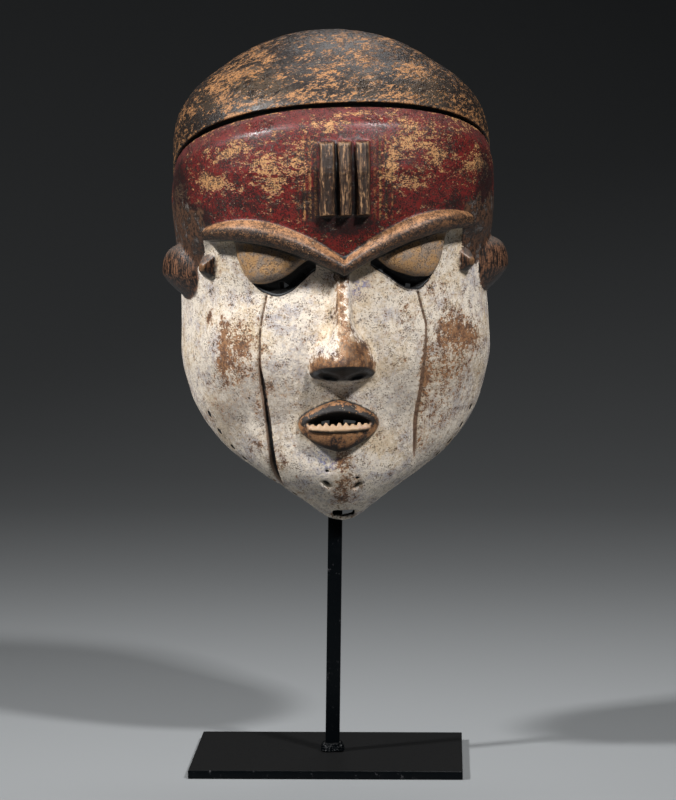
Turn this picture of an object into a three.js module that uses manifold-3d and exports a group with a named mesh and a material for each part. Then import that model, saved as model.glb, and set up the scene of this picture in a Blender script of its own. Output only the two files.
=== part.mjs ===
// A carved and painted wooden face mask of the Pende kind, hollow and open at the back, on a black steel
// stand: a square plate with a square bar welded upright on it. The bar rises behind the chin into the
// hollow, and its upper end carries the mask at the inside of the crown.
// Millimetres, +Z up. The origin is the middle of the plate's underside, and the face looks along -Y.
// Heights on the mask are measured up from the tip of the chin, depths from the bar's axis.
import * as THREE from "three";
import { mergeVertices } from "three/addons/utils/BufferGeometryUtils.js";
import Module from "manifold-3d";

const wasm = await Module();
wasm.setup();

// The stand: its plate, its bar with a small lean to the right, and the lumpy weld at the bar's foot
const PLATE = { side: 152.4, thick: 4.8 };
const POST = { side: 8, shift: 2, lean: THREE.MathUtils.degToRad(0.7), shortOfCrown: 3.2 };
const WELD = { reach: 2.6, top: 0.4, tall: 3.4, lumps: 3, lumpiness: 0.12 };
const FIT_GAP = 0.3;

// How the mask sits on the stand: chin height over the plate, and its shift, turn and lean
const CHIN_RISE = 133.2;
const MASK_SHIFT = 7.1;
const MASK_TURN = THREE.MathUtils.degToRad(5.3);
const MASK_LEAN = THREE.MathUtils.degToRad(1.3);

// The head. Below the foot of its dome, the three curves that follow give its section at each height.
const HEAD = { tall: 278.7, roundness: 2.25, backReach: 118, wall: 9.5, chinWall: 1.5, chinTop: 30 };
const DOME = { foot: 200, half: 90.3, mid: 17, front: -79, fullness: 1.36, fullBelow: 0.75 };
const MIDDLE = new THREE.Vector3(0, -2, 128);
// Half-width at each height
const HALF_WIDTHS = [
  [0, 0], [1.6, 7], [9.5, 18.7], [17, 29.2], [28, 45.6], [41, 62.6], [57, 75.8], [73, 83.2], [98, 88.3],
  [126, 87.4], [156, 88.2], [178, 90], [DOME.foot, DOME.half],
];
// Depth of the face on its middle line, before the brow, nose and mouth are added
const FRONTS = [
  [0, -12], [3, -19], [10, -27], [20, -35.5], [35, -44], [55, -51], [80, -56.5], [105, -59.5],
  [130, -62], [150, -66], [172, -73], [DOME.foot, DOME.front],
];
// Depth where each height is widest, and depth of the back rim
const MIDS = [[0, -5], [20, -1], [40, 7], [60, 14], [85, DOME.mid], [DOME.foot, DOME.mid]];
const RIMS = [[-20, -4.6], [14, -4.6], [32, 0], [50, 12], [70, 29], [95, 44], [130, 51], [300, 51]];

// The forehead band swells out between the brow and the groove under the cap
const BAND = {
  swell: 6, atSides: 0.22, sideDepth: 10, frontDepth: -60, topFade: 15, browFade: 10, templeFade: 8,
};
const GROOVE = { height: 233.6, depth: -68, fall: 0.376, tilt: 0.014, width: 2.4, cut: 5.5 };

// The brow: where its V runs, and its section from the top round, in half-widths and shares of its proud face
const BROW = { reach: 75.5, low: 147.9, rise: 22.6, wave: 112, tilt: 0.028, half: 5.7, endHalf: 2.6, proud: 8 };
const BROW_SECTION = [
  [1.15, -0.6], [1.05, 0.3], [0.65, 0.85], [0, 1], [-0.95, 0.95], [-1.3, 0.45], [-1.75, -0.1], [-1.6, -0.7],
];
// The half-closed eyes: the bulge from corner to corner, and the slit over its thin lower lid
const EYE = { inner: 16.5, outer: 59, innerHeight: 147, outerHeight: 158, sag: 21, skew: 1.15, proud: 8.5 };
const SLIT = { inner: 20.5, outer: 53, lip: 1.7, tall: 5.6 };
const NOSE = {
  root: 146, tip: 91.5, foot: 82.5, wingLift: 5, middleAtRoot: -0.5, middleAtTip: -1.5, flare: 3,
  halfAtRoot: 5.2, halfAtWings: 19.3, wingsFrom: 0.5, proudAtRoot: 5, proudAtTip: 27, wingCurl: 0.35,
};
const NOSTRIL = { half: 4.6, deep: 8, tall: 1.9, tilt: 0.28, apart: 8.6, height: 86.5, proud: 12 };
const MOUTH = { middle: -3.7, half: 23, height: 57.9, up: 13.6, down: 14.4, proud: 9.5, corner: 2.6 };
const MOUTH_GAP = { up: 8, down: 3.6, deep: 20 };
const TEETH = { count: 7, pitch: 4.3, width: 4.1, rise: 4.6, proud: 3.2, sunk: 1.4 };
// The ears: rounded lugs that stand out from the temples, each with a small knob before it
const EAR = { x: 87, y: -8, z: 142.5, half: 11.6, deep: 12, tall: 17, sweep: 9, tuck: 7, square: 2.5 };
const KNOB = { x: 75.5, z: 147, half: 3, tall: 5.5, proud: 5.5, taper: 0.6 };
// The upright bars of the forehead mark
const BARS = {
  count: 3, middle: 0.4, pitch: 9, half: 3.6, low: 175.5, high: 215, proudLow: 6.4, proudHigh: 3.6,
};
// The line cut down each cheek from the eye to the jaw
const TEAR = { top: 132, foot: 22, atTop: 42.5, bow: 5.8, atFoot: 37, half: 1.1, footHalf: 2.2, deep: 3.2 };
// The holes along the back rim, and the slot in the tip of the chin
const RIM_HOLE = { radius: 1.5, inset: 5, long: 30, sides: 6 };
const RIM_HOLE_HEIGHTS = [9, 15, 23.5, 32.5, 41, 50.5, 61, 80, 105, 135, 172, 205];
const CHIN_SLOT = { half: 6.2, low: 3.4, high: 6.8, deep: 30, depth: -18 };

// How deep an added piece is rooted under the skin, and how far a cut starts above it
const ROOT = 3;
const CLEAR = 3;
const SIDES = [-1, 1];

// A smooth step from 0 at one value to 1 at another, whichever of the two is greater
function ease(from, to, v) {
  const t = THREE.MathUtils.clamp((v - from) / (to - from), 0, 1);
  return t * t * (3 - 2 * t);
}

// A smooth curve through [height, value] pairs that never overshoots them
function through(pairs, z) {
  const last = pairs.length - 1;
  if (z <= pairs[0][0]) return pairs[0][1];
  if (z >= pairs[last][0]) return pairs[last][1];
  const slope = (i) => (pairs[i + 1][1] - pairs[i][1]) / (pairs[i + 1][0] - pairs[i][0]);
  const tangent = (i) => {
    if (i === 0) return slope(0);
    if (i === last) return slope(last - 1);
    const before = slope(i - 1);
    const after = slope(i);
    return before * after <= 0 ? 0 : (2 * before * after) / (before + after);
  };
  const i = pairs.findIndex((pair, k) => k < last && z <= pairs[k + 1][0]);
  const span = pairs[i + 1][0] - pairs[i][0];
  const t = (z - pairs[i][0]) / span;
  const t2 = t * t;
  const t3 = t2 * t;
  const ends = (2 * t3 - 3 * t2 + 1) * pairs[i][1] + (3 * t2 - 2 * t3) * pairs[i + 1][1];
  return ends + span * ((t3 - 2 * t2 + t) * tangent(i) + (t3 - t2) * tangent(i + 1));
}

const norm = (a, b, power) => (a ** power + b ** power) ** (1 / power);
const grooveHeight = (x, y) => GROOVE.height - GROOVE.fall * (y - GROOVE.depth) + GROOVE.tilt * x;
const browHeight = (x) => BROW.low + BROW.rise * Math.sin((Math.PI * Math.abs(x)) / BROW.wave) + BROW.tilt * x;

// How far a point lies out from the head's middle: 1 on the skin, less inside. An inset gives the inner skin.
function reach(x, y, z, inset) {
  if (z > DOME.foot) {
    const across = Math.abs(x) / (DOME.half - inset);
    const depth = y < DOME.mid ? DOME.mid - DOME.front : HEAD.backReach;
    const along = Math.abs(y - DOME.mid) / (depth - inset);
    const up = (z - DOME.foot) / (HEAD.tall - DOME.foot - inset);
    return norm(norm(across, along, HEAD.roundness), up, 2 + DOME.fullness * Math.max(0, DOME.fullBelow - up));
  }
  const steepness = (through(HALF_WIDTHS, z + 1) - through(HALF_WIDTHS, z - 1)) / 2;
  const half = through(HALF_WIDTHS, z) - inset * Math.min(2, Math.hypot(1, steepness));
  const mid = through(MIDS, z);
  const front = mid - through(FRONTS, z) - inset * (1 + (HEAD.chinWall - 1) * ease(HEAD.chinTop, 5, z));
  const depth = y < mid ? front : HEAD.backReach - inset;
  const isOutside = z <= 0 || half <= 0.01 || depth <= 0.01;
  return isOutside ? 9 : norm(Math.abs(x) / half, Math.abs(y - mid) / depth, HEAD.roundness);
}

// How much the forehead band swells at a point of the skin
function swell(x, y, z) {
  const temple = ease(68, 84, Math.abs(x));
  const aboveBrow = ease(-BAND.browFade - BAND.templeFade * temple, 1, z - browHeight(x));
  const belowGroove = ease(1, BAND.topFade, grooveHeight(x, y) - z);
  const toFront = BAND.atSides + (1 - BAND.atSides) * ease(BAND.sideDepth, BAND.frontDepth, y);
  return BAND.swell * aboveBrow * belowGroove * toFront;
}

// Where a path from inside to outside crosses the skin
function crossing(inside, outside, isInside) {
  let near = inside;
  let far = outside;
  for (let i = 0; i < 34; i++) {
    const half = (near + far) / 2;
    if (isInside(half)) near = half;
    else far = half;
  }
  return near;
}
const skinDepth = (x, z) =>
  crossing(through(MIDS, Math.min(z, DOME.foot)), -160, (y) => reach(x, y, z, 0) < 1);

// A point over the skin of the face at (x, z), at a height along the skin's normal
function onSkin(x, z, height) {
  const step = 1.5;
  const y = skinDepth(x, z);
  const normal = new THREE.Vector3(
    (skinDepth(x + step, z) - skinDepth(x - step, z)) / (2 * step),
    -1,
    (skinDepth(x, z + step) - skinDepth(x, z - step)) / (2 * step),
  ).normalize();
  return new THREE.Vector3(x, y, z).addScaledVector(normal, swell(x, y, z) + height);
}

// A closed mesh as a solid. A mirrored mesh is inside out, so its triangles are turned.
function solid(geometry) {
  const bare = new THREE.BufferGeometry();
  bare.setAttribute("position", geometry.getAttribute("position").clone());
  if (geometry.index) bare.setIndex(geometry.index.clone());
  const merged = mergeVertices(bare, 1e-4);
  const vertProperties = new Float32Array(merged.attributes.position.array);
  const triVerts = new Uint32Array(merged.index.array);
  const made = new wasm.Manifold(new wasm.Mesh({ numProp: 3, vertProperties, triVerts }));
  if (made.volume() > 0) return made;
  return new wasm.Manifold(new wasm.Mesh({ numProp: 3, vertProperties, triVerts: triVerts.reverse() }));
}
// A solid as a flat-shaded geometry
function geometryOf(made) {
  const { numVert, numProp, vertProperties, triVerts } = made.getMesh();
  const positions = new Float32Array(numVert * 3);
  for (let i = 0; i < numVert; i++) {
    positions.set(vertProperties.subarray(i * numProp, i * numProp + 3), i * 3);
  }
  const geometry = new THREE.BufferGeometry();
  geometry.setAttribute("position", new THREE.BufferAttribute(positions, 3));
  geometry.setIndex(new THREE.BufferAttribute(new Uint32Array(triVerts), 1));
  const flat = geometry.toNonIndexed();
  flat.computeVertexNormals();
  return flat;
}
// Every vertex of a closed geometry moved by a rule, as a solid
function shaped(geometry, rule) {
  const place = geometry.attributes.position;
  const v = new THREE.Vector3();
  for (let i = 0; i < place.count; i++) {
    rule(v.fromBufferAttribute(place, i));
    place.setXYZ(i, v.x, v.y, v.z);
  }
  return solid(geometry);
}

// The head as one closed body: each vertex of a ball is pushed out from the middle to the skin
function head(inset, detail) {
  const farthest = 320;
  const ray = new THREE.Vector3();
  return shaped(new THREE.IcosahedronGeometry(1, detail), (v) => {
    ray.copy(v).normalize();
    const far = crossing(0, farthest, (t) => {
      v.copy(MIDDLE).addScaledVector(ray, t);
      return reach(v.x, v.y, v.z, inset) < 1;
    });
    v.copy(MIDDLE).addScaledVector(ray, far);
    if (inset > 0) return;
    const outward = new THREE.Vector3(v.x * 0.6, v.y - DOME.mid, (v.z - 185) * 0.2).normalize();
    v.addScaledVector(outward, swell(v.x, v.y, v.z));
  });
}

// All that lies behind the back rim
function behindRim() {
  const size = 400;
  return shaped(new THREE.BoxGeometry(size, size, size, 1, 1, 48), (v) => {
    const isFront = v.y < 0;
    v.z += size / 3;
    v.y = isFront ? through(RIMS, v.z) : size;
  });
}

// The groove between the cap and the forehead: a thin sloping slab, kept to the outer skin
function capGroove() {
  const slab = shaped(new THREE.BoxGeometry(300, 300, GROOVE.width), (v) => {
    v.z += grooveHeight(v.x, v.y);
  });
  return slab.subtract(head(GROOVE.cut, 8));
}

// The V-shaped brow: a bar with the brow's section, bent along the brow line
function brow() {
  const count = BROW_SECTION.length;
  const hub = [-0.3, 0.2];
  return shaped(new THREE.CylinderGeometry(1, 1, 2, count, 32), (v) => {
    const x = BROW.reach * v.y;
    const ends = v.y ** 4;
    const half = (BROW.half + (BROW.endHalf - BROW.half) * ends) * (0.78 + 0.22 * ease(0, 16, Math.abs(x)));
    const turn = Math.round((Math.atan2(v.z, v.x) / (2 * Math.PI)) * count);
    const isHub = Math.hypot(v.x, v.z) < 0.3;
    const [rise, out] = isHub ? hub : BROW_SECTION[(turn + count) % count];
    v.copy(onSkin(x, browHeight(x) + half * rise, BROW.proud * (1 - 0.5 * ends) * out));
  });
}

// The lower edge of an eye, from its inner to its outer corner
function eyeEdge(x) {
  const u = THREE.MathUtils.clamp((Math.abs(x) - EYE.inner) / (EYE.outer - EYE.inner), 0, 1);
  const chord = EYE.innerHeight + (EYE.outerHeight - EYE.innerHeight) * u;
  return chord - EYE.sag * Math.sin(Math.PI * u ** EYE.skew) ** 0.85;
}
// The bulge of an eye, from its lower edge up to the middle of the brow
function eyeBulge(side) {
  return shaped(new THREE.SphereGeometry(1, 18, 12), (v) => {
    const wide = THREE.MathUtils.clamp(v.x, -0.999, 0.999);
    const x = side * ((EYE.inner + EYE.outer) / 2 + ((EYE.outer - EYE.inner) / 2) * wide);
    const share = (v.z / Math.sqrt(1 - wide * wide) + 1) / 2;
    const low = eyeEdge(x);
    const high = Math.max(browHeight(x), low + 4);
    v.copy(onSkin(x, low + (high - low) * share, -EYE.proud * (v.y + 0.15)));
  });
}
// The dark slit between the upper lid and the thin lower lid, cut right through the wall
function eyeSlit(side) {
  return shaped(new THREE.BoxGeometry(1, 2, 1, 10, 1, 1), (v) => {
    const share = v.x + 0.5;
    const x = side * (SLIT.inner + (SLIT.outer - SLIT.inner) * share);
    const tall = SLIT.tall * Math.sin(Math.PI * (0.03 + 0.94 * share)) ** 0.7;
    const low = eyeEdge(x) + SLIT.lip;
    v.set(x, skinDepth(x, low) + 18 * v.y - 4, low + (v.z + 0.5) * tall);
  });
}

// The nose: narrow at the root between the brows, wide at the wings, with its underside turned up
function nose() {
  return shaped(new THREE.CylinderGeometry(1, 1, 1, 18, 12), (v) => {
    const down = 0.5 - v.y;
    const z = NOSE.root + (NOSE.tip - NOSE.root) * down;
    const wings = ease(NOSE.wingsFrom, 0.98, down);
    const straight = NOSE.halfAtRoot + NOSE.flare * down;
    const half = straight + (NOSE.halfAtWings - NOSE.halfAtRoot - NOSE.flare) * wings;
    const proud = NOSE.proudAtRoot + (NOSE.proudAtTip - NOSE.proudAtRoot) * down ** 1.35;
    const out = Math.max(0, v.z) * (1 - NOSE.wingCurl * wings * Math.abs(v.x));
    const x = half * v.x;
    const y = skinDepth(0, z) - proud * out + 5 * Math.max(0, -v.z) + 0.012 * x * x;
    const isUnder = down > 0.999;
    const foot = NOSE.tip - NOSE.foot - NOSE.wingLift * Math.abs(v.x) ** 1.5;
    const middle = THREE.MathUtils.lerp(NOSE.middleAtRoot, NOSE.middleAtTip, down);
    v.set(middle + x, y, z - (isUnder ? foot * (1 - out) : 0));
  });
}
function nostril(side) {
  return shaped(new THREE.SphereGeometry(1, 10, 6), (v) => {
    v.multiply(new THREE.Vector3(NOSTRIL.half, NOSTRIL.deep, NOSTRIL.tall));
    v.applyAxisAngle(new THREE.Vector3(0, 1, 0), side * NOSTRIL.tilt);
    const y = skinDepth(0, NOSTRIL.height) - NOSTRIL.proud;
    v.add(new THREE.Vector3(NOSE.middleAtTip + side * NOSTRIL.apart, y, NOSTRIL.height));
  });
}

// The lips: one almond swelling that the open mouth is cut through
function lips() {
  return shaped(new THREE.SphereGeometry(1, 18, 12), (v) => {
    const tall = Math.sqrt(Math.max(0, 1 - v.x * v.x));
    const share = tall > 0 ? Math.abs(v.z) / tall : 0;
    const rise = (v.z > 0 ? MOUTH.up : MOUTH.down) * (1 - 0.3 * Math.abs(v.x));
    const proud = -MOUTH.proud * v.y * (1 - 0.15 * share);
    v.copy(onSkin(MOUTH.middle + MOUTH.half * v.x, MOUTH.height + rise * v.z, proud));
  });
}
function mouthGap() {
  return shaped(new THREE.BoxGeometry(2, 2, 1, 16, 1, 1), (v) => {
    const x = MOUTH.middle + (MOUTH.half - MOUTH.corner) * v.x;
    const arch = Math.cos((Math.PI / 2) * 0.985 * Math.abs(v.x));
    const z = arch * (v.z > 0 ? MOUTH_GAP.up : -MOUTH_GAP.down);
    v.set(x, skinDepth(x, MOUTH.height) - 2 + MOUTH_GAP.deep * v.y, MOUTH.height + z);
  });
}
// One pointed tooth of the lower row
function tooth(i) {
  const x = MOUTH.middle + (i - (TEETH.count - 1) / 2) * TEETH.pitch;
  const gapFloor = MOUTH.height - MOUTH_GAP.down * (1 - ((x - MOUTH.middle) / MOUTH.half) ** 2);
  const y = skinDepth(x, MOUTH.height) - TEETH.proud;
  const pyramid = new THREE.ConeGeometry(TEETH.width / Math.SQRT2, TEETH.rise, 4)
    .rotateY(Math.PI / 4)
    .rotateX(Math.PI / 2)
    .translate(x, y, gapFloor + TEETH.rise / 2 - TEETH.sunk);
  return solid(pyramid);
}

function ear(side) {
  return shaped(new THREE.SphereGeometry(1, 14, 12), (v) => {
    const flat = norm(norm(Math.abs(v.x), Math.abs(v.y), EAR.square), Math.abs(v.z), EAR.square);
    v.divideScalar(flat);
    const down = Math.max(0, -v.z);
    v.set(
      side * (EAR.x + EAR.half * v.x * (1 - 0.5 * down) - EAR.tuck * down ** 1.5),
      EAR.y + EAR.deep * v.y * (1 - 0.3 * down) + EAR.sweep * v.x,
      EAR.z + EAR.tall * v.z * (1 - 0.12 * Math.max(0, v.x)),
    );
  });
}
function knob(side) {
  return shaped(new THREE.BoxGeometry(2, 2, 2), (v) => {
    const isTop = v.y < 0;
    const size = isTop ? KNOB.taper : 1;
    const x = side * (KNOB.x + KNOB.half * v.x * size);
    v.copy(onSkin(x, KNOB.z + KNOB.tall * v.z * size, isTop ? KNOB.proud : -ROOT));
  });
}

function ornamentBar(i) {
  return shaped(new THREE.BoxGeometry(2, 2, 1, 2, 1, 6), (v) => {
    const share = v.z + 0.5;
    const isTop = v.y < 0;
    const half = BARS.half * (isTop ? 0.78 : 1);
    const x = BARS.middle + (i - (BARS.count - 1) / 2) * BARS.pitch + half * v.x;
    const z = THREE.MathUtils.lerp(BARS.low, BARS.high, share);
    v.copy(onSkin(x, z, isTop ? THREE.MathUtils.lerp(BARS.proudLow, BARS.proudHigh, share) : -ROOT));
  });
}

// The V-shaped cut of a cheek line, wide at the skin and narrow at its bottom
function tearLine(side) {
  return shaped(new THREE.BoxGeometry(2, 2, 1, 1, 1, 14), (v) => {
    const down = 0.5 - v.z;
    const isOver = v.y < 0;
    const bow = TEAR.bow * Math.sin(Math.PI * down ** 0.8);
    const line = THREE.MathUtils.lerp(TEAR.atTop, TEAR.atFoot, down) + bow;
    const half = THREE.MathUtils.lerp(TEAR.half, TEAR.footHalf, down) * (isOver ? 1.5 : 0.25);
    const z = THREE.MathUtils.lerp(TEAR.top, TEAR.foot, down);
    v.copy(onSkin(side * line + half * v.x, z, isOver ? CLEAR : -TEAR.deep));
  });
}

function rimHole(side, height) {
  const level = Math.min(height, DOME.foot);
  const y = through(RIMS, height) - RIM_HOLE.inset;
  const mid = through(MIDS, level);
  const depth = y < mid ? mid - through(FRONTS, level) : HEAD.backReach;
  const along = Math.min(1, Math.abs(y - mid) / depth);
  const x = side * through(HALF_WIDTHS, height) * (1 - along ** HEAD.roundness) ** (1 / HEAD.roundness);
  const rise = (height - 75) * (height < 75 ? 0.9 : 0.1);
  const outward = new THREE.Vector3(x, (y - mid) / 2 - 6, rise).normalize();
  const turn = new THREE.Quaternion().setFromUnitVectors(new THREE.Vector3(0, 1, 0), outward);
  const { radius, long, sides } = RIM_HOLE;
  const drill = new THREE.CylinderGeometry(radius, radius, long, sides).applyQuaternion(turn);
  return solid(drill.translate(x, y, height));
}
function chinSlot() {
  const tall = CHIN_SLOT.high - CHIN_SLOT.low;
  return shaped(new THREE.BoxGeometry(2 * CHIN_SLOT.half, CHIN_SLOT.deep, tall, 4, 1, 1), (v) => {
    const ends = (v.x / CHIN_SLOT.half) ** 2;
    v.y += CHIN_SLOT.depth;
    v.z = v.z * (1 - 0.35 * ends) + CHIN_SLOT.low + tall / 2 + 0.6 * ends;
  });
}

// The mask, carved from one block: the head with its features added, then everything cut from it
function mask() {
  const added = [
    brow(),
    nose(),
    lips(),
    ...SIDES.flatMap((side) => [eyeBulge(side), ear(side), knob(side)]),
    ...Array.from({ length: BARS.count }, (_, i) => ornamentBar(i)),
  ];
  const cut = [
    capGroove(),
    mouthGap(),
    chinSlot(),
    behindRim(),
    head(HEAD.wall, 7),
    ...SIDES.flatMap((side) => [eyeSlit(side), nostril(side), tearLine(side)]),
    ...SIDES.flatMap((side) => RIM_HOLE_HEIGHTS.map((height) => rimHole(side, height))),
  ];
  const teeth = Array.from({ length: TEETH.count }, (_, i) => tooth(i));
  const blank = added.reduce((made, piece) => made.add(piece), head(0, 12));
  const hollow = cut.reduce((made, piece) => made.subtract(piece), blank);
  const carved = teeth.reduce((made, piece) => made.add(piece), hollow);
  const paintedWood = new THREE.MeshStandardMaterial({ color: 0xb9aea0, roughness: 0.8, metalness: 0 });
  const mesh = new THREE.Mesh(geometryOf(carved), paintedWood);
  mesh.name = "mask";
  const place = new THREE.Group();
  place.position.set(MASK_SHIFT, 0, PLATE.thick + CHIN_RISE);
  place.rotation.set(0, -MASK_LEAN, MASK_TURN, "ZYX");
  place.add(mesh);
  return place;
}

function standBase(finish) {
  const mesh = new THREE.Mesh(new THREE.BoxGeometry(PLATE.side, PLATE.side, PLATE.thick), finish);
  mesh.name = "stand_base";
  mesh.position.z = PLATE.thick / 2;
  return mesh;
}

// The bar with its bead of weld at the foot. Its top bears on the inside of the crown.
function standPost(finish) {
  const top = CHIN_RISE + HEAD.tall - HEAD.wall - POST.shortOfCrown;
  const half = POST.side / 2;
  const bar = shaped(new THREE.BoxGeometry(POST.side, POST.side, 1), (v) => {
    v.z = v.z < 0 ? FIT_GAP : top;
    v.x += v.z * Math.tan(POST.lean);
  });
  const bead = shaped(new THREE.CylinderGeometry(half + WELD.top, half + WELD.reach, WELD.tall, 16, 2), (v) => {
    const round = Math.hypot(v.x, v.z);
    const lump = 1 + WELD.lumpiness * Math.sin(WELD.lumps * Math.atan2(v.z, v.x) + 1);
    const squared = round < 0.1 ? 1 : round / Math.max(Math.abs(v.x), Math.abs(v.z), 0.8 * round);
    v.set(v.x * squared * lump, v.z * squared * lump, v.y + WELD.tall / 2 + FIT_GAP);
  });
  const mesh = new THREE.Mesh(geometryOf(bar.add(bead)), finish);
  mesh.name = "stand_post";
  mesh.position.set(POST.shift, 0, PLATE.thick);
  return mesh;
}

const blackSteel = new THREE.MeshStandardMaterial({ color: 0x0c0d0f, roughness: 0.45, metalness: 0.4 });
const part = new THREE.Group();
part.add(standBase(blackSteel), standPost(blackSteel), mask());

export default part;
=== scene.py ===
"""A carved and painted wooden face mask of the Pende kind, dressed on its black steel stand.

The mask is carved again, finer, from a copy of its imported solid: every point of the copy is moved on to the
form that the classes below describe, in the mask's own frame in millimetres. Heights there are measured up
from the tip of the chin, depths back from the bar's axis, and the face looks along -Y. All else is in metres.
"""

import logging
import math
from dataclasses import dataclass
from enum import Enum, StrEnum, auto

import bmesh
import bpy
import numpy as np
from mathutils import Matrix, Vector


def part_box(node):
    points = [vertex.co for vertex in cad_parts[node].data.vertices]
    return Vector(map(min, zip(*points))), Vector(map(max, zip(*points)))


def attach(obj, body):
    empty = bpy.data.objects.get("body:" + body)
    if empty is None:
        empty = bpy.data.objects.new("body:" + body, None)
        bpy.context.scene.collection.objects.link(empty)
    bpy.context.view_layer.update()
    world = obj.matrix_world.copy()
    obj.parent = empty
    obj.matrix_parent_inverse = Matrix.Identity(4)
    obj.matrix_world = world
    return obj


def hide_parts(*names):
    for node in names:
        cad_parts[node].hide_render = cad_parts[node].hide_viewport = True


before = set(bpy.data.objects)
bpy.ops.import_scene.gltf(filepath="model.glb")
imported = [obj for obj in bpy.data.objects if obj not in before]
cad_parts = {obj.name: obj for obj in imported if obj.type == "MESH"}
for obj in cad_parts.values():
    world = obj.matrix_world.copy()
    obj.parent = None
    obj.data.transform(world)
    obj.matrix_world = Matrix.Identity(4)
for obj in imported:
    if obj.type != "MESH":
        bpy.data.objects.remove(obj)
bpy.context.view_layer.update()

LOG = logging.getLogger("mask")
MM = 0.001
BODY = "root"
Points = np.ndarray
Values = np.ndarray
Mesh = bpy.types.Mesh
Object = bpy.types.Object
Material = bpy.types.Material
BMesh = bmesh.types.BMesh
Socket = bpy.types.NodeSocket
Colour = tuple[float, float, float]
Corner = tuple[float, float, float]
Box = tuple[Corner, Corner]

# The depth that parts the face from the back of the mask, in its own frame
FACE_BACK = 20


class Side(Enum):
    """A side of the face as the viewer sees it."""

    LEFT = -1
    RIGHT = 1


def ease(low: float, high: float, value: Values) -> Values:
    """Gives a smooth step from 0 at low to 1 at high, whichever of the two is greater."""
    share = np.clip((value - low) / (high - low), 0, 1)
    return share * share * (3 - 2 * share)


def norm(a: Values, b: Values, power: Values) -> Values:
    """Gives the length of (a, b) in a norm of that power."""
    return (a**power + b**power) ** (1 / power)


def soft_max(a: Values, b: Values, blend: float) -> Values:
    """Gives the greater of two values, rounded over where they are within blend of each other."""
    share = np.clip(0.5 + 0.5 * (a - b) / blend, 0, 1)
    return b + (a - b) * share + blend * share * (1 - share)


def soft_min(a: Values, b: Values, blend: float) -> Values:
    """Gives the smaller of two values, rounded over where they are within blend of each other."""
    return -soft_max(-a, -b, blend)


class Curve:
    """A smooth curve through (place, value) pairs that never overshoots them."""

    def __init__(self, *pairs: tuple[float, float], step: float = 0.1) -> None:
        """Fits the curve and reads it into a fine table.

        Args:
            pairs: The points that the curve goes through, in order of place.
            step: How far apart the table's places are.
        """
        places, values = np.array(pairs, float).T
        slopes = np.diff(values) / np.diff(places)
        same_way = slopes[:-1] * slopes[1:] > 0
        total = np.where(same_way, slopes[:-1] + slopes[1:], 1)
        inner = np.where(same_way, 2 * slopes[:-1] * slopes[1:] / total, 0)
        tangents = np.concatenate([slopes[:1], inner, slopes[-1:]])
        self.places = np.append(np.arange(places[0], places[-1], step), places[-1])
        piece = np.clip(np.searchsorted(places, self.places, "right") - 1, 0, len(places) - 2)
        span = places[piece + 1] - places[piece]
        t = (self.places - places[piece]) / span
        ends = (2 * t**3 - 3 * t**2 + 1) * values[piece] + (3 * t**2 - 2 * t**3) * values[piece + 1]
        bends = (t**3 - 2 * t**2 + t) * tangents[piece] + (t**3 - t**2) * tangents[piece + 1]
        self.values = ends + span * bends

    def __call__(self, place: Values) -> Values:
        """Gives the curve's value at each place."""
        return np.interp(place, self.places, self.values)


class Noise:
    """Smooth seeded noise in space, from -1 to 1."""

    CELLS = 32

    def __init__(self, seed: int) -> None:
        """Draws the lattice of values."""
        self.lattice = np.random.default_rng(seed).uniform(-1, 1, (self.CELLS,) * 3)

    def __call__(self, points: Points, size: float | tuple[float, float, float]) -> Values:
        """Gives the noise at points.

        Args:
            points: One row of x, y, z each.
            size: The size of its lumps, or one size for each axis.

        Returns:
            One value a point.
        """
        places = points / np.array(size, float)
        cells = np.floor(places).astype(int)
        shares = ease(0, 1, places - cells)
        total = np.zeros(len(points))
        for corner in np.ndindex(2, 2, 2):
            weight = np.prod(np.where(corner, shares, 1 - shares), axis=1)
            i, j, k = ((cells + corner) % self.CELLS).T
            total += weight * self.lattice[i, j, k]
        return total


def distance(rule, points: Points, step: float = 0.15) -> tuple[Values, Points]:
    """Turns a rule that is zero on a surface into a distance from it.

    Args:
        rule: A function from points to values.
        points: One row of x, y, z each.
        step: How far apart the values are taken that give the slope.

    Returns:
        The distance of each point, and the direction away from the surface there.
    """
    here = rule(points)
    slope = np.stack([(rule(points + step * axis) - here) / step for axis in np.eye(3)], axis=1)
    steepness = np.maximum(np.linalg.norm(slope, axis=1), 1e-6)
    return here / steepness, slope / steepness[:, None]


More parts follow.
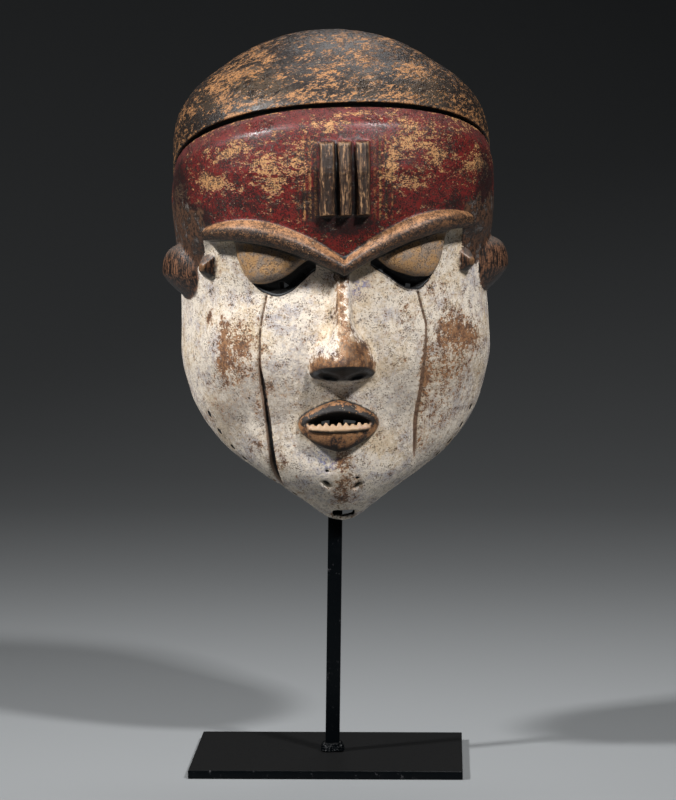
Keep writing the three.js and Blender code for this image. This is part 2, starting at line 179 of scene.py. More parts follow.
@dataclass(frozen=True)
class Head:
    """The bare head: a carved shell with a rounded crown and a narrow chin."""

    tall: float = 278.7
    roundness: float = 2.25
    back_reach: float = 118
    wall: float = 9.5
    dome_foot: float = 200
    fullness: float = 1.36
    full_below: float = 0.75
    far: float = 9
    halves: Curve = Curve(
        (0, 0), (1.6, 7), (9.5, 18.7), (17, 29.2), (28, 45.6), (41, 62.6), (57, 75.8), (73, 83.2),
        (98, 88.3), (126, 87.4), (156, 88.2), (178, 90), (200, 90.3))
    fronts: Curve = Curve(
        (0, -12), (3, -19), (10, -27), (20, -35.5), (35, -44), (55, -51), (80, -56.5), (105, -59.5),
        (130, -62), (150, -66), (172, -73), (200, -79))
    mids: Curve = Curve((0, -5), (20, -1), (40, 7), (60, 14), (85, 17), (200, 17))
    cheeks: Curve = Curve(
        (0, 0), (14, 0.9), (28, 1.8), (45, -0.6), (60, -2.6), (72, -2.2), (98, 0.6), (112, 0.9), (135, 0))
    rims: Curve = Curve((-20, -4.6), (14, -4.6), (32, 0), (50, 12), (70, 29), (95, 44), (130, 51), (300, 51))

    def reach(self, points: Points, inset: float = 0) -> Values:
        """Gives 1 on the skin, and less inside. An inset gives the skin of the hollow instead."""
        x, y, z = points.T
        level = np.minimum(z, self.dome_foot)
        steepness = (self.halves(level + 1) - self.halves(level - 1)) / 2
        half = self.halves(level) - inset * np.minimum(2, np.hypot(1, steepness))
        mid = self.mids(level)
        front = mid - self.fronts(level) - inset * (1 + 0.5 * ease(30, 5, z))
        depth = np.where(y < mid, front, self.back_reach - inset)
        flat = norm(abs(x) / np.maximum(half, 1.5), abs(y - mid) / np.maximum(depth, 1.5), self.roundness)
        up = np.maximum(0, z - self.dome_foot) / (self.tall - self.dome_foot - inset)
        value = norm(flat, up, 2 + self.fullness * np.maximum(0, self.full_below - up))
        shut = (half < 2) | (depth < 2)
        return np.where(shut, self.far, value) if inset else value

    def foot(self, points: Points) -> tuple[Points, Values, Points]:
        """Finds the nearest place on the skin.

        Args:
            points: One row of x, y, z each.

        Returns:
            That place, each point's height over it, and the direction away from the skin.
        """
        place = points
        for _ in range(2):
            off, out = distance(lambda p: self.reach(p) - 1, place)
            place = place - np.clip(off, -25, 25)[:, None] * out
        height = np.sum((points - place) * out, axis=1)
        return place, height, out

    def fullness_at(self, place: Points) -> Values:
        """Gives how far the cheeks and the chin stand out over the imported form, less than zero between."""
        x, y, z = place.T
        across = np.minimum(1, abs(x) / np.maximum(self.halves(z), 8))
        return self.cheeks(z) * (1 - across**4) * (y < FACE_BACK)

    def skin_depth(self, x: Values, z: Values) -> Values:
        """Gives the depth of the bare face at (x, z) below the dome."""
        mid = self.mids(z)
        along = np.minimum(1, abs(x) / np.maximum(self.halves(z), 1.5)) ** self.roundness
        return mid - (mid - self.fronts(z)) * (1 - along) ** (1 / self.roundness)


@dataclass(frozen=True)
class Cap:
    """The cap over the forehead, parted from it by a groove, and the forehead band that swells below it."""

    groove_height: float = 233.6
    groove_depth: float = -68
    fall: float = 0.376
    tilt: float = 0.014
    width: float = 2.7
    cut: float = 5.5
    swell: float = 6
    at_sides: float = 0.22

    def groove(self, place: Points) -> Values:
        """Gives the height of the groove's middle over each place."""
        return self.groove_height - self.fall * (place[:, 1] - self.groove_depth) + self.tilt * place[:, 0]

    def band_swell(self, place: Points, over_brow: Values) -> Values:
        """Gives how far the band stands out at each place.

        Args:
            place: Places on the skin.
            over_brow: Their heights over the middle of the brow.
        """
        temple = ease(68, 84, abs(place[:, 0]))
        above_brow = ease(0, 1, (over_brow + 10 + 8 * temple) / (11 + 8 * temple))
        below_groove = ease(1, 15, self.groove(place) - place[:, 2])
        to_front = self.at_sides + (1 - self.at_sides) * ease(10, -60, place[:, 1])
        return self.swell * above_brow * below_groove * to_front

    def cut_groove(self, points: Points, height: Values) -> Values:
        """Gives the distance outside the groove's cut, less than zero in it."""
        across = abs(points[:, 2] - self.groove(points)) * math.cos(math.atan(self.fall))
        return soft_max(across - self.width / 2, -(height + self.cut), 0.8)


@dataclass(frozen=True)
class Brow:
    """The V-shaped brow, one bar bent over both eyes, with pointed ends."""

    reach: tuple[float, float] = (72.0, 68.5)
    low: float = 147.9
    rise: float = 22.6
    wave: float = 112
    tilt: float = 0.028
    half: float = 5.7
    end_half: float = 3.2
    proud: float = 8
    section: Curve = Curve(
        (-2.2, -0.8), (-1.75, -0.12), (-1.45, 0.25), (-1.15, 0.66), (-0.98, 0.93), (-0.85, 1), (-0.3, 0.97),
        (0.25, 0.9), (0.62, 0.8), (0.9, 0.5), (1.1, 0.1), (1.3, -0.4), (1.7, -0.9), step=0.01)

    def line(self, x: Values) -> Values:
        """Gives the height of the brow's middle."""
        return self.low + self.rise * np.sin(np.pi * abs(x) / self.wave) + self.tilt * x

    def out(self, x: Values) -> Values:
        """Gives how far out a place is, up to 1 at the brow's two ends, which are not alike."""
        return abs(x) / np.where(x < 0, self.reach[0], self.reach[1])

    def half_at(self, x: Values) -> Values:
        """Gives half the brow's height."""
        ends = np.minimum(1, self.out(x)) ** 4
        return (self.half + (self.end_half - self.half) * ends) * (0.78 + 0.22 * ease(0, 16, abs(x)))

    def side(self, place: Points) -> Values:
        """Gives where a place is on the brow's section, from -1.75 below to 1.3 above."""
        x = place[:, 0]
        return (place[:, 2] - self.line(x)) / self.half_at(x)

    def raised(self, place: Points) -> Values:
        """Gives how far the brow stands over the skin, less than zero beside it."""
        out = self.out(place[:, 0])
        proud = self.proud * (1 - 0.4 * np.minimum(1, out) ** 4)
        return proud * self.section(self.side(place)) - 200 * np.maximum(0, out - 0.98)


@dataclass(frozen=True)
class Eyes:
    """The half-closed eyes: full upper lids over thin lower ones, with a dark slit between.

    The left curves are for the viewer's left eye, and all go from the nose outwards.
    """

    inner: float = 18
    outer: float = 59
    proud: float = 8.5
    slit_inner: float = 18
    slit_outer: float = 50.5
    rim: float = 1.2
    slit_inside: float = 1.6
    sockets: tuple[Curve, Curve] = (
        Curve((10, 147), (17, 143), (23, 137.7), (29, 132.5), (36.3, 129.9), (43.7, 132.2), (48.9, 136.5),
              (53.2, 142.6), (57.3, 151), (59, 158.7), (64, 170)),
        Curve((10, 149), (17.7, 144.1), (25.3, 139.2), (31.9, 134.2), (36.5, 132.2), (42, 131.8), (46.5, 135),
              (49.4, 138.7), (53, 146.3), (55.8, 157.8), (61, 170)))
    lashes: tuple[Curve, Curve] = (
        Curve((10, 152), (20, 149.5), (23, 147.5), (29, 142.7), (36.1, 139), (43.7, 136.9), (48.9, 137.5),
              (53.2, 142.6), (57.3, 151), (59, 158.7), (64, 170)),
        Curve((10, 153), (18, 149.6), (20, 148.3), (25.2, 144.2), (32.8, 141), (40.3, 139), (46.5, 138.8),
              (49.4, 140.2), (53, 146.3), (55.8, 157.8), (61, 170)))

    @staticmethod
    def both(curves: tuple[Curve, Curve], x: Values) -> Values:
        """Reads the left curve on the left of the face and the right one on the right."""
        return np.where(x < 0, curves[0](abs(x)), curves[1](abs(x)))

    def lid(self, place: Points, brow: Brow) -> Values:
        """Gives how far an upper lid stands over the skin, less than zero beside it."""
        x, _, z = place.T
        low = self.both(self.lashes, x)
        high = np.maximum(brow.line(x) - 0.9 * brow.half_at(x), low + 3)
        up = np.clip((z - low) / (high - low), 0.001, 1.4) ** 0.8
        wide = (abs(x) - (self.inner + self.outer) / 2) / ((self.outer - self.inner) / 2)
        across = 1 - np.minimum(1, wide**2)
        bulge = self.proud * (np.sqrt(across * np.maximum(0, 1 - (2 * up - 1) ** 2)) - 0.15)
        beside = np.maximum(0, abs(wide) - 1) * 20 + np.maximum(0, low - z) * 1.5
        return bulge - beside

    def lower_lid(self, place: Points) -> Values:
        """Gives how far the thin rim of a lower lid stands over the skin."""
        x, _, z = place.T
        u = np.clip((abs(x) - self.inner) / (self.slit_outer - self.inner), 0, 1)
        off = (z - self.both(self.sockets, x) - 0.4) / 1.1
        return 1.5 * np.sin(np.pi * u) ** 0.5 * (1.1 - off**2) - 0.3

    def slit(self, points: Points, head: Head) -> Values:
        """Gives the distance outside the cut of the slits, less than zero in it. They narrow inwards."""
        x, y, z = points.T
        inward = ease(-3, 5, y - head.skin_depth(x, z))
        low = self.both(self.sockets, x) + self.rim
        high = np.maximum(self.both(self.lashes, x) - 0.3, low - 1)
        high = high + (low + self.slit_inside - high) * inward * (high > low + self.slit_inside)
        ends = np.maximum(self.slit_inner - abs(x), abs(x) - self.slit_outer)
        return soft_max(np.maximum(low - z, z - high) * 0.8, ends, 0.5)

    def shadow(self, place: Points) -> Values:
        """Gives how far inside the dark between the lids each place is, less than zero outside."""
        x, _, z = place.T
        inside = np.minimum(z - self.both(self.sockets, x), self.both(self.lashes, x) + 0.7 - z)
        ends = np.minimum(abs(x) - self.slit_inner + 3, self.slit_outer + 1.5 - abs(x))
        return np.minimum(inside, ends)


@dataclass(frozen=True)
class Nose:
    """The nose: a flat narrow ridge between two planes, broad wings and a turned-up underside."""

    root: float = 146
    tip: float = 91.0
    foot: float = 78.2
    wing_lift: float = 5
    middle_at_root: float = -0.5
    middle_at_tip: float = -1.5
    flare: float = 3
    half_at_root: float = 5.2
    half_at_wings: float = 19.3
    wings_from: float = 0.5
    proud_at_root: float = 5
    proud_at_tip: float = 27
    wing_curl: float = 0.35
    nostril: tuple[float, float, float] = (5.4, 8, 2.2)
    nostril_apart: float = 8.8
    nostril_height: float = 84.6
    nostril_proud: float = 13
    nostril_tilt: float = 0.2

    def body(self, points: Points, head: Head) -> Values:
        """Gives a value that is zero on the nose's skin and less than zero inside it."""
        x, y, z = points.T
        down = np.clip((self.root - z) / (self.root - self.tip), -0.3, 1)
        shown = np.maximum(down, 0)
        wings = ease(self.wings_from, 0.98, down)
        straight = self.half_at_root + self.flare * down
        half = straight + (self.half_at_wings - self.half_at_root - self.flare) * wings
        middle = self.middle_at_root + (self.middle_at_tip - self.middle_at_root) * shown
        across = abs(x - middle) / half
        proud = self.proud_at_root + (self.proud_at_tip - self.proud_at_root) * shown**1.35
        proud = proud * (1 - self.wing_curl * wings * np.minimum(1, across))
        skin = head.fronts(z) + 0.012 * (x - middle) ** 2
        out = (skin - y) / np.maximum(proud, 1)
        round_side = norm(across, np.maximum(out, 0), 2.0) - 1
        ridge = 0.5 - 0.12 * shown
        flat_side = np.maximum(out - 1, (across + out * (1 - ridge) - 1) / 1.15)
        sides = (flat_side + (round_side - flat_side) * wings) * half
        drop = self.tip - self.foot - self.wing_lift * np.minimum(1, across) ** 1.5
        under = self.tip - drop * (1 - np.clip(out, -0.3, 1)) - z
        return soft_max(soft_max(sides, 0.8 * under, 3.4), (z - self.root) * 0.5, 2)

    def nostrils(self, points: Points, head: Head) -> Values:
        """Gives the distance outside the nostrils, less than zero in them."""
        x, y, z = points.T
        across = x - self.middle_at_tip
        right, up = abs(across) - self.nostril_apart, z - self.nostril_height
        along = right * math.cos(self.nostril_tilt) + up * math.sin(self.nostril_tilt)
        over = up * math.cos(self.nostril_tilt) - right * math.sin(self.nostril_tilt)
        back = y - (head.fronts(self.nostril_height) - self.nostril_proud)
        wide, deep, tall = self.nostril
        size = np.sqrt((along / wide) ** 2 + (back / deep) ** 2 + (over / tall) ** 2)
        return (size - 1) * tall


@dataclass(frozen=True)
class Mouth:
    """The open mouth: full lips round a low arch, with a row of small pointed teeth."""

    middle: float = -3.7
    half: float = 23
    height: float = 57.9
    up: float = 13.6
    down: float = 15.4
    proud: float = 9.5
    corner: float = 2.6
    gap_up: float = 7.0
    gap_down: float = 2.0
    inner_half: float = 13
    inner_up: float = 2.3
    inner_down: float = 0.1
    teeth_beside: int = 4
    pitch: float = 3.7
    tooth_tall: float = 3.0
    ridge_tall: float = 0.7
    ridge_half: float = 1.1
    tooth_proud: float = 6.6
    tooth_root: float = 4

    def lips(self, place: Points) -> Values:
        """Gives how far the lips stand over the skin, less than zero beside them."""
        x, _, z = place.T
        across = (x - self.middle) / self.half
        wide = np.minimum(1, abs(across))
        rise = np.where(z > self.height, self.up, self.down) * (1 - 0.3 * wide)
        tall = rise * np.sqrt(np.maximum(1e-4, 1 - wide**2))
        up = abs(z - self.height) / tall
        crest = np.sqrt(np.maximum(0, 1 - np.minimum(1, up) ** 2.6) * (1 - wide**2))
        beside = np.maximum(0, up - 1) * tall * 0.9 + np.maximum(0, abs(across) - 1) * self.half
        return self.proud * 1.02 * crest - 0.3 - beside

    def gap(self, points: Points, head: Head) -> Values:
        """Gives the distance outside the mouth's opening, less than zero in it. It narrows inwards."""
        x, y, z = points.T
        inward = ease(-6, 4, y - head.skin_depth(x, z))
        half = self.half - self.corner + (self.inner_half - self.half + self.corner) * inward
        share = abs(x - self.middle) / half
        arch = np.cos(np.pi / 2 * 0.985 * np.minimum(1, share))
        top = self.height + (self.gap_up + (self.inner_up - self.gap_up) * inward) * arch**0.7
        bottom = self.height - (self.gap_down + (self.inner_down - self.gap_down) * inward) * arch
        return soft_max(np.maximum(z - top, bottom - z) * 0.9, (share - 1) * half, 0.6)

    def row_at(self, x: Values, head: Head) -> tuple[Values, Values, Values]:
        """Gives the depth of the row of teeth at each x, the height of its foot and how tall it is."""
        across = np.minimum(1, abs(x - self.middle) / (self.half - self.corner))
        arch = np.sqrt(1 - across**2)
        row = (x - self.middle) / self.pitch + 0.5
        point = 1 - 2 * abs(row - np.floor(row) - 0.5)
        uneven = 1 + 0.2 * np.sin(2.3 * np.floor(row) + 0.7)
        bottom = self.height - self.gap_down * arch - 0.6
        tall = (self.ridge_tall + self.tooth_tall * point * uneven) * (0.3 + 0.7 * arch) + 0.6
        depth = head.skin_depth(x, self.height) - self.tooth_proud * (0.25 + 0.75 * arch)
        return depth, bottom, tall

    def tooth_row(self, points: Points, head: Head) -> Values:
        """Gives the distance outside the row of pointed teeth, less than zero in it."""
        x, y, z = points.T
        depth, bottom, tall = self.row_at(x, head)
        thick = self.ridge_half * (1.25 - 0.5 * (z - bottom) / tall)
        sides = abs(y - depth - 0.25 * (z - bottom)) - thick
        past = abs(x - self.middle) - self.half + self.corner + 3
        ends = soft_max(bottom - z - 1, past, 0.4)
        return soft_max(soft_max(sides, (z - bottom - tall) * 0.6, 0.4), ends, 0.3)

    def add_teeth(self, work: BMesh, head: Head) -> None:
        """Adds a cone for each tooth to the blank, its root in the lower lip."""
        places = self.middle + self.pitch * np.arange(-self.teeth_beside, self.teeth_beside + 1.0)
        for x, depth, bottom, tall in zip(places, *self.row_at(places, head)):
            length = float(tall) + self.tooth_root
            middle = Matrix.Translation((x, depth + 0.4, bottom - self.tooth_root + length / 2))
            bmesh.ops.create_cone(work, cap_ends=True, cap_tris=True, segments=12, radius1=2.6, radius2=0.4,
                                  depth=length, matrix=middle)


@dataclass(frozen=True)
class Ears:
    """The ears, rounded lugs that taper down to a point, and the small pointed knobs before them."""

    x: float = 87
    y: float = -8
    z: float = 142.5
    half: float = 11.6
    deep: float = 12
    tall: float = 17
    sweep: float = 9
    tuck: float = 7
    square: float = 2.5
    knob_x: tuple[float, float] = (72.8, 69.5)
    knob_z: float = 147
    knob_half: float = 4.2
    knob_tall: float = 7.6
    knob_proud: float = 7

    def lug(self, points: Points) -> Values:
        """Gives a value that is zero on the ears' skin and less than zero inside them."""
        x, y, z = points.T
        up = (z - self.z) / self.tall
        down = np.clip(-up, 0, 1.2)
        across = (abs(x) - self.x + self.tuck * down**1.5) / (self.half * (1 - 0.5 * down))
        up = up / (1 - 0.12 * np.clip(across, 0, 1))
        along = (y - self.y - self.sweep * across) / (self.deep * (1 - 0.3 * down))
        return norm(norm(abs(across), abs(along), self.square), abs(up), self.square) - 1

    def knob(self, place: Points) -> Values:
        """Gives how far the knobs stand over the skin, less than zero beside them."""
        middle = np.where(place[:, 0] < 0, self.knob_x[0], self.knob_x[1])
        across = abs(abs(place[:, 0]) - middle) / self.knob_half
        up = abs(place[:, 2] - self.knob_z) / self.knob_tall
        inside = 1 - np.maximum(across, up) - 0.25 * np.minimum(across, up)
        return self.knob_proud * np.minimum(0.92, 1.25 * inside)


@dataclass(frozen=True)
class ForeheadMark:
    """The three upright bars of the forehead, and the fine lines scored beside them."""

    bars: tuple[tuple[float, float], ...] = ((-12.6, -4.8), (-2.9, 4.0), (6.5, 13.8))
    low: float = 175.5
    high: float = 215
    proud_low: float = 6.2
    proud_high: float = 3.5
    scored: tuple[tuple[float, float], ...] = ((-25, -13), (15, 28))

    def raised(self, place: Points, noise: Noise) -> Values:
        """Gives how far the bars stand over the skin, less than zero beside them."""
        x, _, z = place.T
        share = np.clip((z - self.low) / (self.high - self.low), 0, 1)
        proud = self.proud_low + (self.proud_high - self.proud_low) * share
        wobble = 0.35 * noise(place, (6, 40, 9))
        best = np.full(len(x), -9.0)
        for left, right in self.bars:
            inside = (right - left) / 2 - abs(x + wobble - (left + right) / 2)
            best = np.maximum(best, np.minimum(proud, inside * 3.2 + 1.2))
        lines = 0.5 * ease(-0.5, 0.9, np.sin(2 * np.pi * (x + 0.5 * wobble) / 2.35))
        ends = np.minimum(z - self.low + wobble, self.high - z + wobble) * 2.6
        return np.minimum(best - lines * ease(0.5, 1.5, best), ends)

    def scored_lines(self, place: Points) -> Values:
        """Gives how deep the fine upright lines beside the bars are cut."""
        x, _, z = place.T
        near = sum(ease(low, low + 3, x) * ease(high, high - 5, x) for low, high in self.scored)
        upright = ease(172, 176, z) * ease(221, 212, z)
        return 0.45 * near * upright * ease(0, 1, np.sin(2 * np.pi * x / 3.1) - 0.1)


@dataclass(frozen=True)
class CheekLines:
    """The line cut down each cheek, thin under the eye and a wide sloping cut towards the jaw."""

    deep: float = 3.2
    left: Curve = Curve(
        (18, -32.5), (25.7, -35.2), (36.2, -38.9), (55, -42.6), (79.3, -45.1), (93.4, -46.7), (106, -46.4),
        (129.7, -42.5), (134, -41.5))
    right: Curve = Curve(
        (18, 36.5), (40, 39.9), (59, 41.4), (73, 43.6), (91, 45.2), (110.8, 46.4), (121.7, 44.1), (134, 41.4))

    def depth(self, place: Points) -> Values:
        """Gives how deep the lines are cut at each place."""
        x, _, z = place.T
        ends = ease(18, 30, z) * ease(134.5, 129, z)
        wide = ease(100, 78, z)
        off_left = x - self.left(z)
        slope = np.where(off_left < 0, 1.1 + 2.3 * wide, 0.75)
        left = np.maximum(0, 1 - abs(off_left) / slope) * (1.5 + (self.deep - 1.5) * wide)
        lip = 0.35 * np.exp(-((abs(off_left) - 1.9) ** 2) / 0.5) * (1 - wide)
        off_right = x - self.right(z)
        right = np.maximum(0, 1 - abs(off_right) / (1.05 + 0.5 * wide)) * (1.5 + 0.7 * wide) * ease(30, 48, z)
        return (left - lip + right) * ends


@dataclass(frozen=True)
class RimHoles:
    """The holes along the back rim and the jaw, and the cuts in the chin."""

    radius: float = 1.7
    inset: float = 5
    jaw: float = 70
    jaw_share: float = 0.38
    heights: tuple[float, ...] = (16.5, 26, 37, 43.5, 52.5, 62.5, 80, 105, 135, 172, 205)
    slot_half: float = 6.2
    slot_low: float = 3.4
    slot_high: float = 6.8
    slot_back: float = -3
    nicks: tuple[tuple[float, float, float, float], ...] = (
        (-10.3, 24.2, 3.4, -0.6), (7.2, 22.8, 3.6, 0.65), (-10.2, 31.6, 1.2, 0), (6.6, 27.5, 1.1, 0))
    nick_deep: float = 2
    drill_reach: float = 15
    level_height: float = 75

    def drilled(self, points: Points, head: Head) -> Values:
        """Gives the distance outside the drilled holes, less than zero in them."""
        best = np.full(len(points), 9.0)
        for side in Side:
            for height in self.heights:
                level = min(height, head.dome_foot)
                mid = head.mids(level)
                front = mid - head.fronts(level)
                on_jaw = height < self.jaw
                y = mid - self.jaw_share * front if on_jaw else head.rims(height) - self.inset
                depth = front if y < mid else head.back_reach
                along = min(1, abs(y - mid) / depth)
                x = side.value * head.halves(height) * (1 - along**head.roundness) ** (1 / head.roundness)
                rise = (height - self.level_height) * (0.9 if height < self.level_height else 0.1)
                outward = np.array([x, (y - mid) * (1.2 if on_jaw else 0.5) - 6, rise])
                outward /= np.linalg.norm(outward)
                off = points - (x, y, height)
                along_drill = off @ outward
                radius = np.sqrt(np.maximum(0, np.sum(off**2, axis=1) - along_drill**2))
                best = np.minimum(best, np.maximum(radius - self.radius, abs(along_drill) - self.drill_reach))
        return best

    def slot(self, points: Points) -> Values:
        """Gives the distance outside the slot in the tip of the chin, less than zero in it."""
        x, y, z = points.T
        ends = np.minimum(1.2, abs(x) / self.slot_half) ** 2
        middle = (self.slot_low + self.slot_high) / 2 + 0.6 * ends
        tall = (self.slot_high - self.slot_low) / 2 * (1 - 0.35 * ends)
        across = soft_max(abs(z - middle) - tall, abs(x) - self.slot_half, 0.8)
        return soft_max(across, y - self.slot_back, 0.5)

    def chin_cuts(self, place: Points) -> Values:
        """Gives how deep the small slanted cuts in the chin are."""
        x, _, z = place.T
        total = np.zeros(len(x))
        for at_x, at_z, half, turn in self.nicks:
            along = (x - at_x) * math.cos(turn) + (z - at_z) * math.sin(turn)
            across = (z - at_z) * math.cos(turn) - (x - at_x) * math.sin(turn)
            size = (along / half) ** 2 + (across / (0.4 * half + 0.3)) ** 2
            total = np.maximum(total, self.nick_deep * np.maximum(0, 1 - size))
        return total


@dataclass(frozen=True)
class Form:
    """The whole carved form, as a value that is zero on its surface and less than zero in the wood."""

    head: Head = Head()
    cap: Cap = Cap()
    brow: Brow = Brow()
    eyes: Eyes = Eyes()
    nose: Nose = Nose()
    mouth: Mouth = Mouth()
    ears: Ears = Ears()
    mark: ForeheadMark = ForeheadMark()
    cheeks: CheekLines = CheekLines()
    holes: RimHoles = RimHoles()
    noise: Noise = Noise(11)
    groove_box: Box = ((-100, -110, 180), (100, 60, 250))
    nose_box: Box = ((-30, -110, 76), (30, -30, 150))
    nostril_box: Box = ((-20, -110, 78), (20, -50, 98))
    ear_box: Box = ((-120, -60, 115), (120, 30, 170))
    mouth_box: Box = ((-35, -90, 45), (30, 20, 75))
    teeth_box: Box = ((-35, -90, 45), (30, -30, 72))
    eye_box: Box = ((-66, -90, 125), (66, 20, 165))
    slot_box: Box = ((-12, -50, -2), (12, 0, 12))
    ears_from: float = 62
    rim_zone: float = 34

    @staticmethod
    def near(points: Points, box: Box) -> Values:
        """Marks the points inside a box."""
        low, high = box
        return np.all((points > low) & (points < high), axis=1)

    def relief(self, place: Points) -> Values:
        """Gives how far the carving stands over the bare skin at places on it."""
        over_brow = place[:, 2] - self.brow.line(place[:, 0])
        raised = np.zeros(len(place))
        front = place[:, 1] < FACE_BACK
        face = place[front]
        parts = [
            (self.brow.raised(face), 0.9),
            (self.eyes.lid(face, self.brow), 0.7),
            (self.eyes.lower_lid(face), 0.5),
            (self.mouth.lips(face), 0.8),
            (self.mark.raised(face, self.noise), 0.5),
            (self.ears.knob(face), 0.4),
        ]
        total = raised[front]
        for height, blend in parts:
            total = soft_max(total, height, blend)
        total -= self.cheeks.depth(face) + self.holes.chin_cuts(face) + self.mark.scored_lines(face)
        raised[front] = total + self.head.fullness_at(face)
        return raised + self.cap.band_swell(place, over_brow)

    def __call__(self, points: Points) -> Values:
        """Gives the value at points."""
        head = self.head
        x, y, z = points.T
        place, height, _ = head.foot(points)
        value = height - self.relief(place)
        groove = self.near(points, self.groove_box)
        cut = self.cap.cut_groove(points[groove], height[groove])
        value[groove] = soft_max(value[groove], -cut, 0.8)
        value = soft_max(value, -z, 1)
        value = self.add(value, points, self.nose_box, self.nose.body, 2.2)
        ears = self.near(points, self.ear_box) & (abs(x) > self.ears_from)
        value[ears] = soft_min(value[ears], distance(self.ears.lug, points[ears])[0], 2.2)
        value = self.cut(value, points, self.nostril_box, self.nose.nostrils, 0.8)
        value = self.cut(value, points, self.mouth_box, self.mouth.gap, 0.9)
        value = self.cut(value, points, self.eye_box, self.eyes.slit, 0.5)
        value = self.cut(value, points, self.slot_box, lambda p, _: self.holes.slot(p), 0.5)
        by_rim = (y > head.rims(z) - self.rim_zone) | (z < self.holes.jaw)
        value[by_rim] = soft_max(value[by_rim], -self.holes.drilled(points[by_rim], head), 0.5)
        wobble = 0.5 * self.noise(points, 17) + 0.3 * self.noise(points, 6)
        steepness = (head.rims(z + 1) - head.rims(z - 1)) / 2
        behind = (y - head.rims(z) + wobble) / np.hypot(1, steepness)
        value = soft_max(value, behind, 1.6)
        hollow = distance(lambda p: head.reach(p, head.wall) - 1, points)[0]
        value = soft_max(value, -np.clip(hollow, -20, 20), 1.2)
        mouth = self.near(points, self.teeth_box)
        value[mouth] = soft_min(value[mouth], self.mouth.tooth_row(points[mouth], head), 0.5)
        return value

    def add(self, value: Values, points: Points, box: Box, rule, blend: float) -> Values:
        """Joins on the body that a rule describes inside a box, and gives the new value."""
        near = self.near(points, box)
        body = distance(lambda p: rule(p, self.head), points[near])[0]
        value[near] = soft_min(value[near], body, blend)
        return value

    def cut(self, value: Values, points: Points, box: Box, rule, blend: float) -> Values:
        """Cuts away what a rule describes inside a box, and gives the new value."""
        near = self.near(points, box)
        value[near] = soft_max(value[near], -rule(points[near], self.head), blend)
        return value


@dataclass(frozen=True)
class Patch:
    """A soft oval patch on the front of the mask, in millimetres of its own frame."""

    x: float
    z: float
    across: float
    tall: float
    amount: float = 1.0


def patches_of(*rows: tuple[float, ...]) -> tuple[Patch, ...]:
    """Makes a patch of each row: its x, z, across and tall, and its amount where that isn't 1."""
    return tuple(Patch(*row) for row in rows)


def patched(place: Points, patches: tuple[Patch, ...]) -> Values:
    """Adds up patches.

    Args:
        place: Places on the skin, one row of x, y, z each.
        patches: The patches to add up.

    Returns:
        The amount at each place, about 1 in the middle of a patch.
    """
    total = np.zeros(len(place))
    for patch in patches:
        off = ((place[:, 0] - patch.x) / patch.across) ** 2 + ((place[:, 2] - patch.z) / patch.tall) ** 2
        total += patch.amount * np.exp(-off)
    return total * ease(30, 0, place[:, 1])


WORN_CAP = patches_of(
    (-41, 264, 7, 4), (-53, 254, 8, 2.5), (-64, 243, 6, 8), (-56, 231, 5, 2),
    (-22, 240, 5, 3), (-8, 253, 14, 14, 0.62), (6, 272, 5, 3), (31, 271, 6, 4),
    (16, 262, 6, 4), (42, 253, 8, 5), (41, 238, 6, 3), (71, 227, 14, 6, 0.8),
    (0, 240, 60, 1.8, 0.7), (-60, 250, 12, 14, 0.35), (30, 255, 40, 14, 0.25),
)
WORN_BAND = patches_of(
    (-60, 209, 10, 4), (-55, 214, 5, 4), (-36, 202, 12, 9), (-69, 196, 9, 4),
    (-62, 192, 11, 3), (-86, 187, 6, 5), (-8, 224, 11, 4), (-37, 190, 4, 4),
    (36, 216, 10, 8, 1.2), (51, 207, 7, 5), (72, 201, 10, 7), (37, 195, 9, 6),
    (25, 202, 4, 10), (-22, 206, 6, 10, 0.6), (55, 218, 12, 3, 0.5),
    (12, 229, 20, 1.5, 0.6),
)
# Soot on the band and the cap; the narrow patches between the forehead's bars, beside the first bar and under
# the bars are painted shadow
SOOT = patches_of(
    (-85, 194, 6, 13), (-74, 176, 9, 6), (79, 190, 8, 18), (-19, 182, 5, 7),
    (-1, 170, 13, 5), (-29, 266, 8, 5), (-72, 237, 5, 6, 0.5), (28, 263, 11, 6),
    (11, 247, 9, 8, 0.5), (62, 250, 14, 12, 0.5), (60, 180, 10, 5, 0.7),
    (-50, 181, 8, 3, 0.6), (2, 174, 14, 4, 1.3), (-3.8, 195, 1.4, 20, 1.2),
    (5.2, 195, 1.4, 20, 1.2), (-14.5, 193, 1.8, 18), (-86, 176, 7, 12),
    (80, 172, 7, 9, 0.8),
)
# Satin spots where the lamps' highlights fall on the cap and the band: they make the paint smoother there,
# and on the cap they also lighten it to grey, a painted highlight
SATIN = patches_of(
    (-43, 245, 15, 10), (50, 243, 12, 10), (-72, 237, 6, 6, 0.6), (14, 246, 10, 9, 0.8),
    (-44, 223, 11, 7, 0.9), (18, 226, 9, 6, 0.9),
)
STAINS = patches_of(
    (-66, 106, 2.5, 19), (-56, 105, 8, 11, 0.9), (-68, 91, 3, 4), (-73, 118, 1.6, 6),
    (-49, 68, 1.6, 7), (-48, 46, 4, 5, 0.8), (-42, 80, 3, 4), (-44, 101, 3, 3),
    (-36, 36, 6, 6, 0.9), (-60, 85, 8, 10, 0.5), (-60, 103, 9, 18, 0.55),
    (65, 106, 14, 14, 0.95), (58, 110, 7, 10, 0.6),
    (71, 105, 6, 5), (58, 85, 11, 11, 1.0), (46, 82, 3.5, 24, 0.9), (35, 120, 5, 6, 0.8),
    (31, 92, 5, 4, 0.8), (43, 45, 1.6, 4), (56, 60, 10, 12, 0.45), (-1, 25, 6, 17, 1.1),
    (-3, 41, 5, 6, 0.7), (50, 130, 10, 5, 0.4), (-76, 70, 6, 20, 0.3),
)
# Painted shade: a grey band across the lower cheeks
GRIME = patches_of(
    (-54, 78, 22, 24, 0.8), (-32, 66, 14, 22, 0.7), (32, 70, 16, 26, 0.7),
    (62, 84, 22, 30, 0.8), (-22, 96, 8, 16, 0.4), (52, 44, 14, 12, 0.5),
    (-66, 60, 10, 16, 0.7),
)
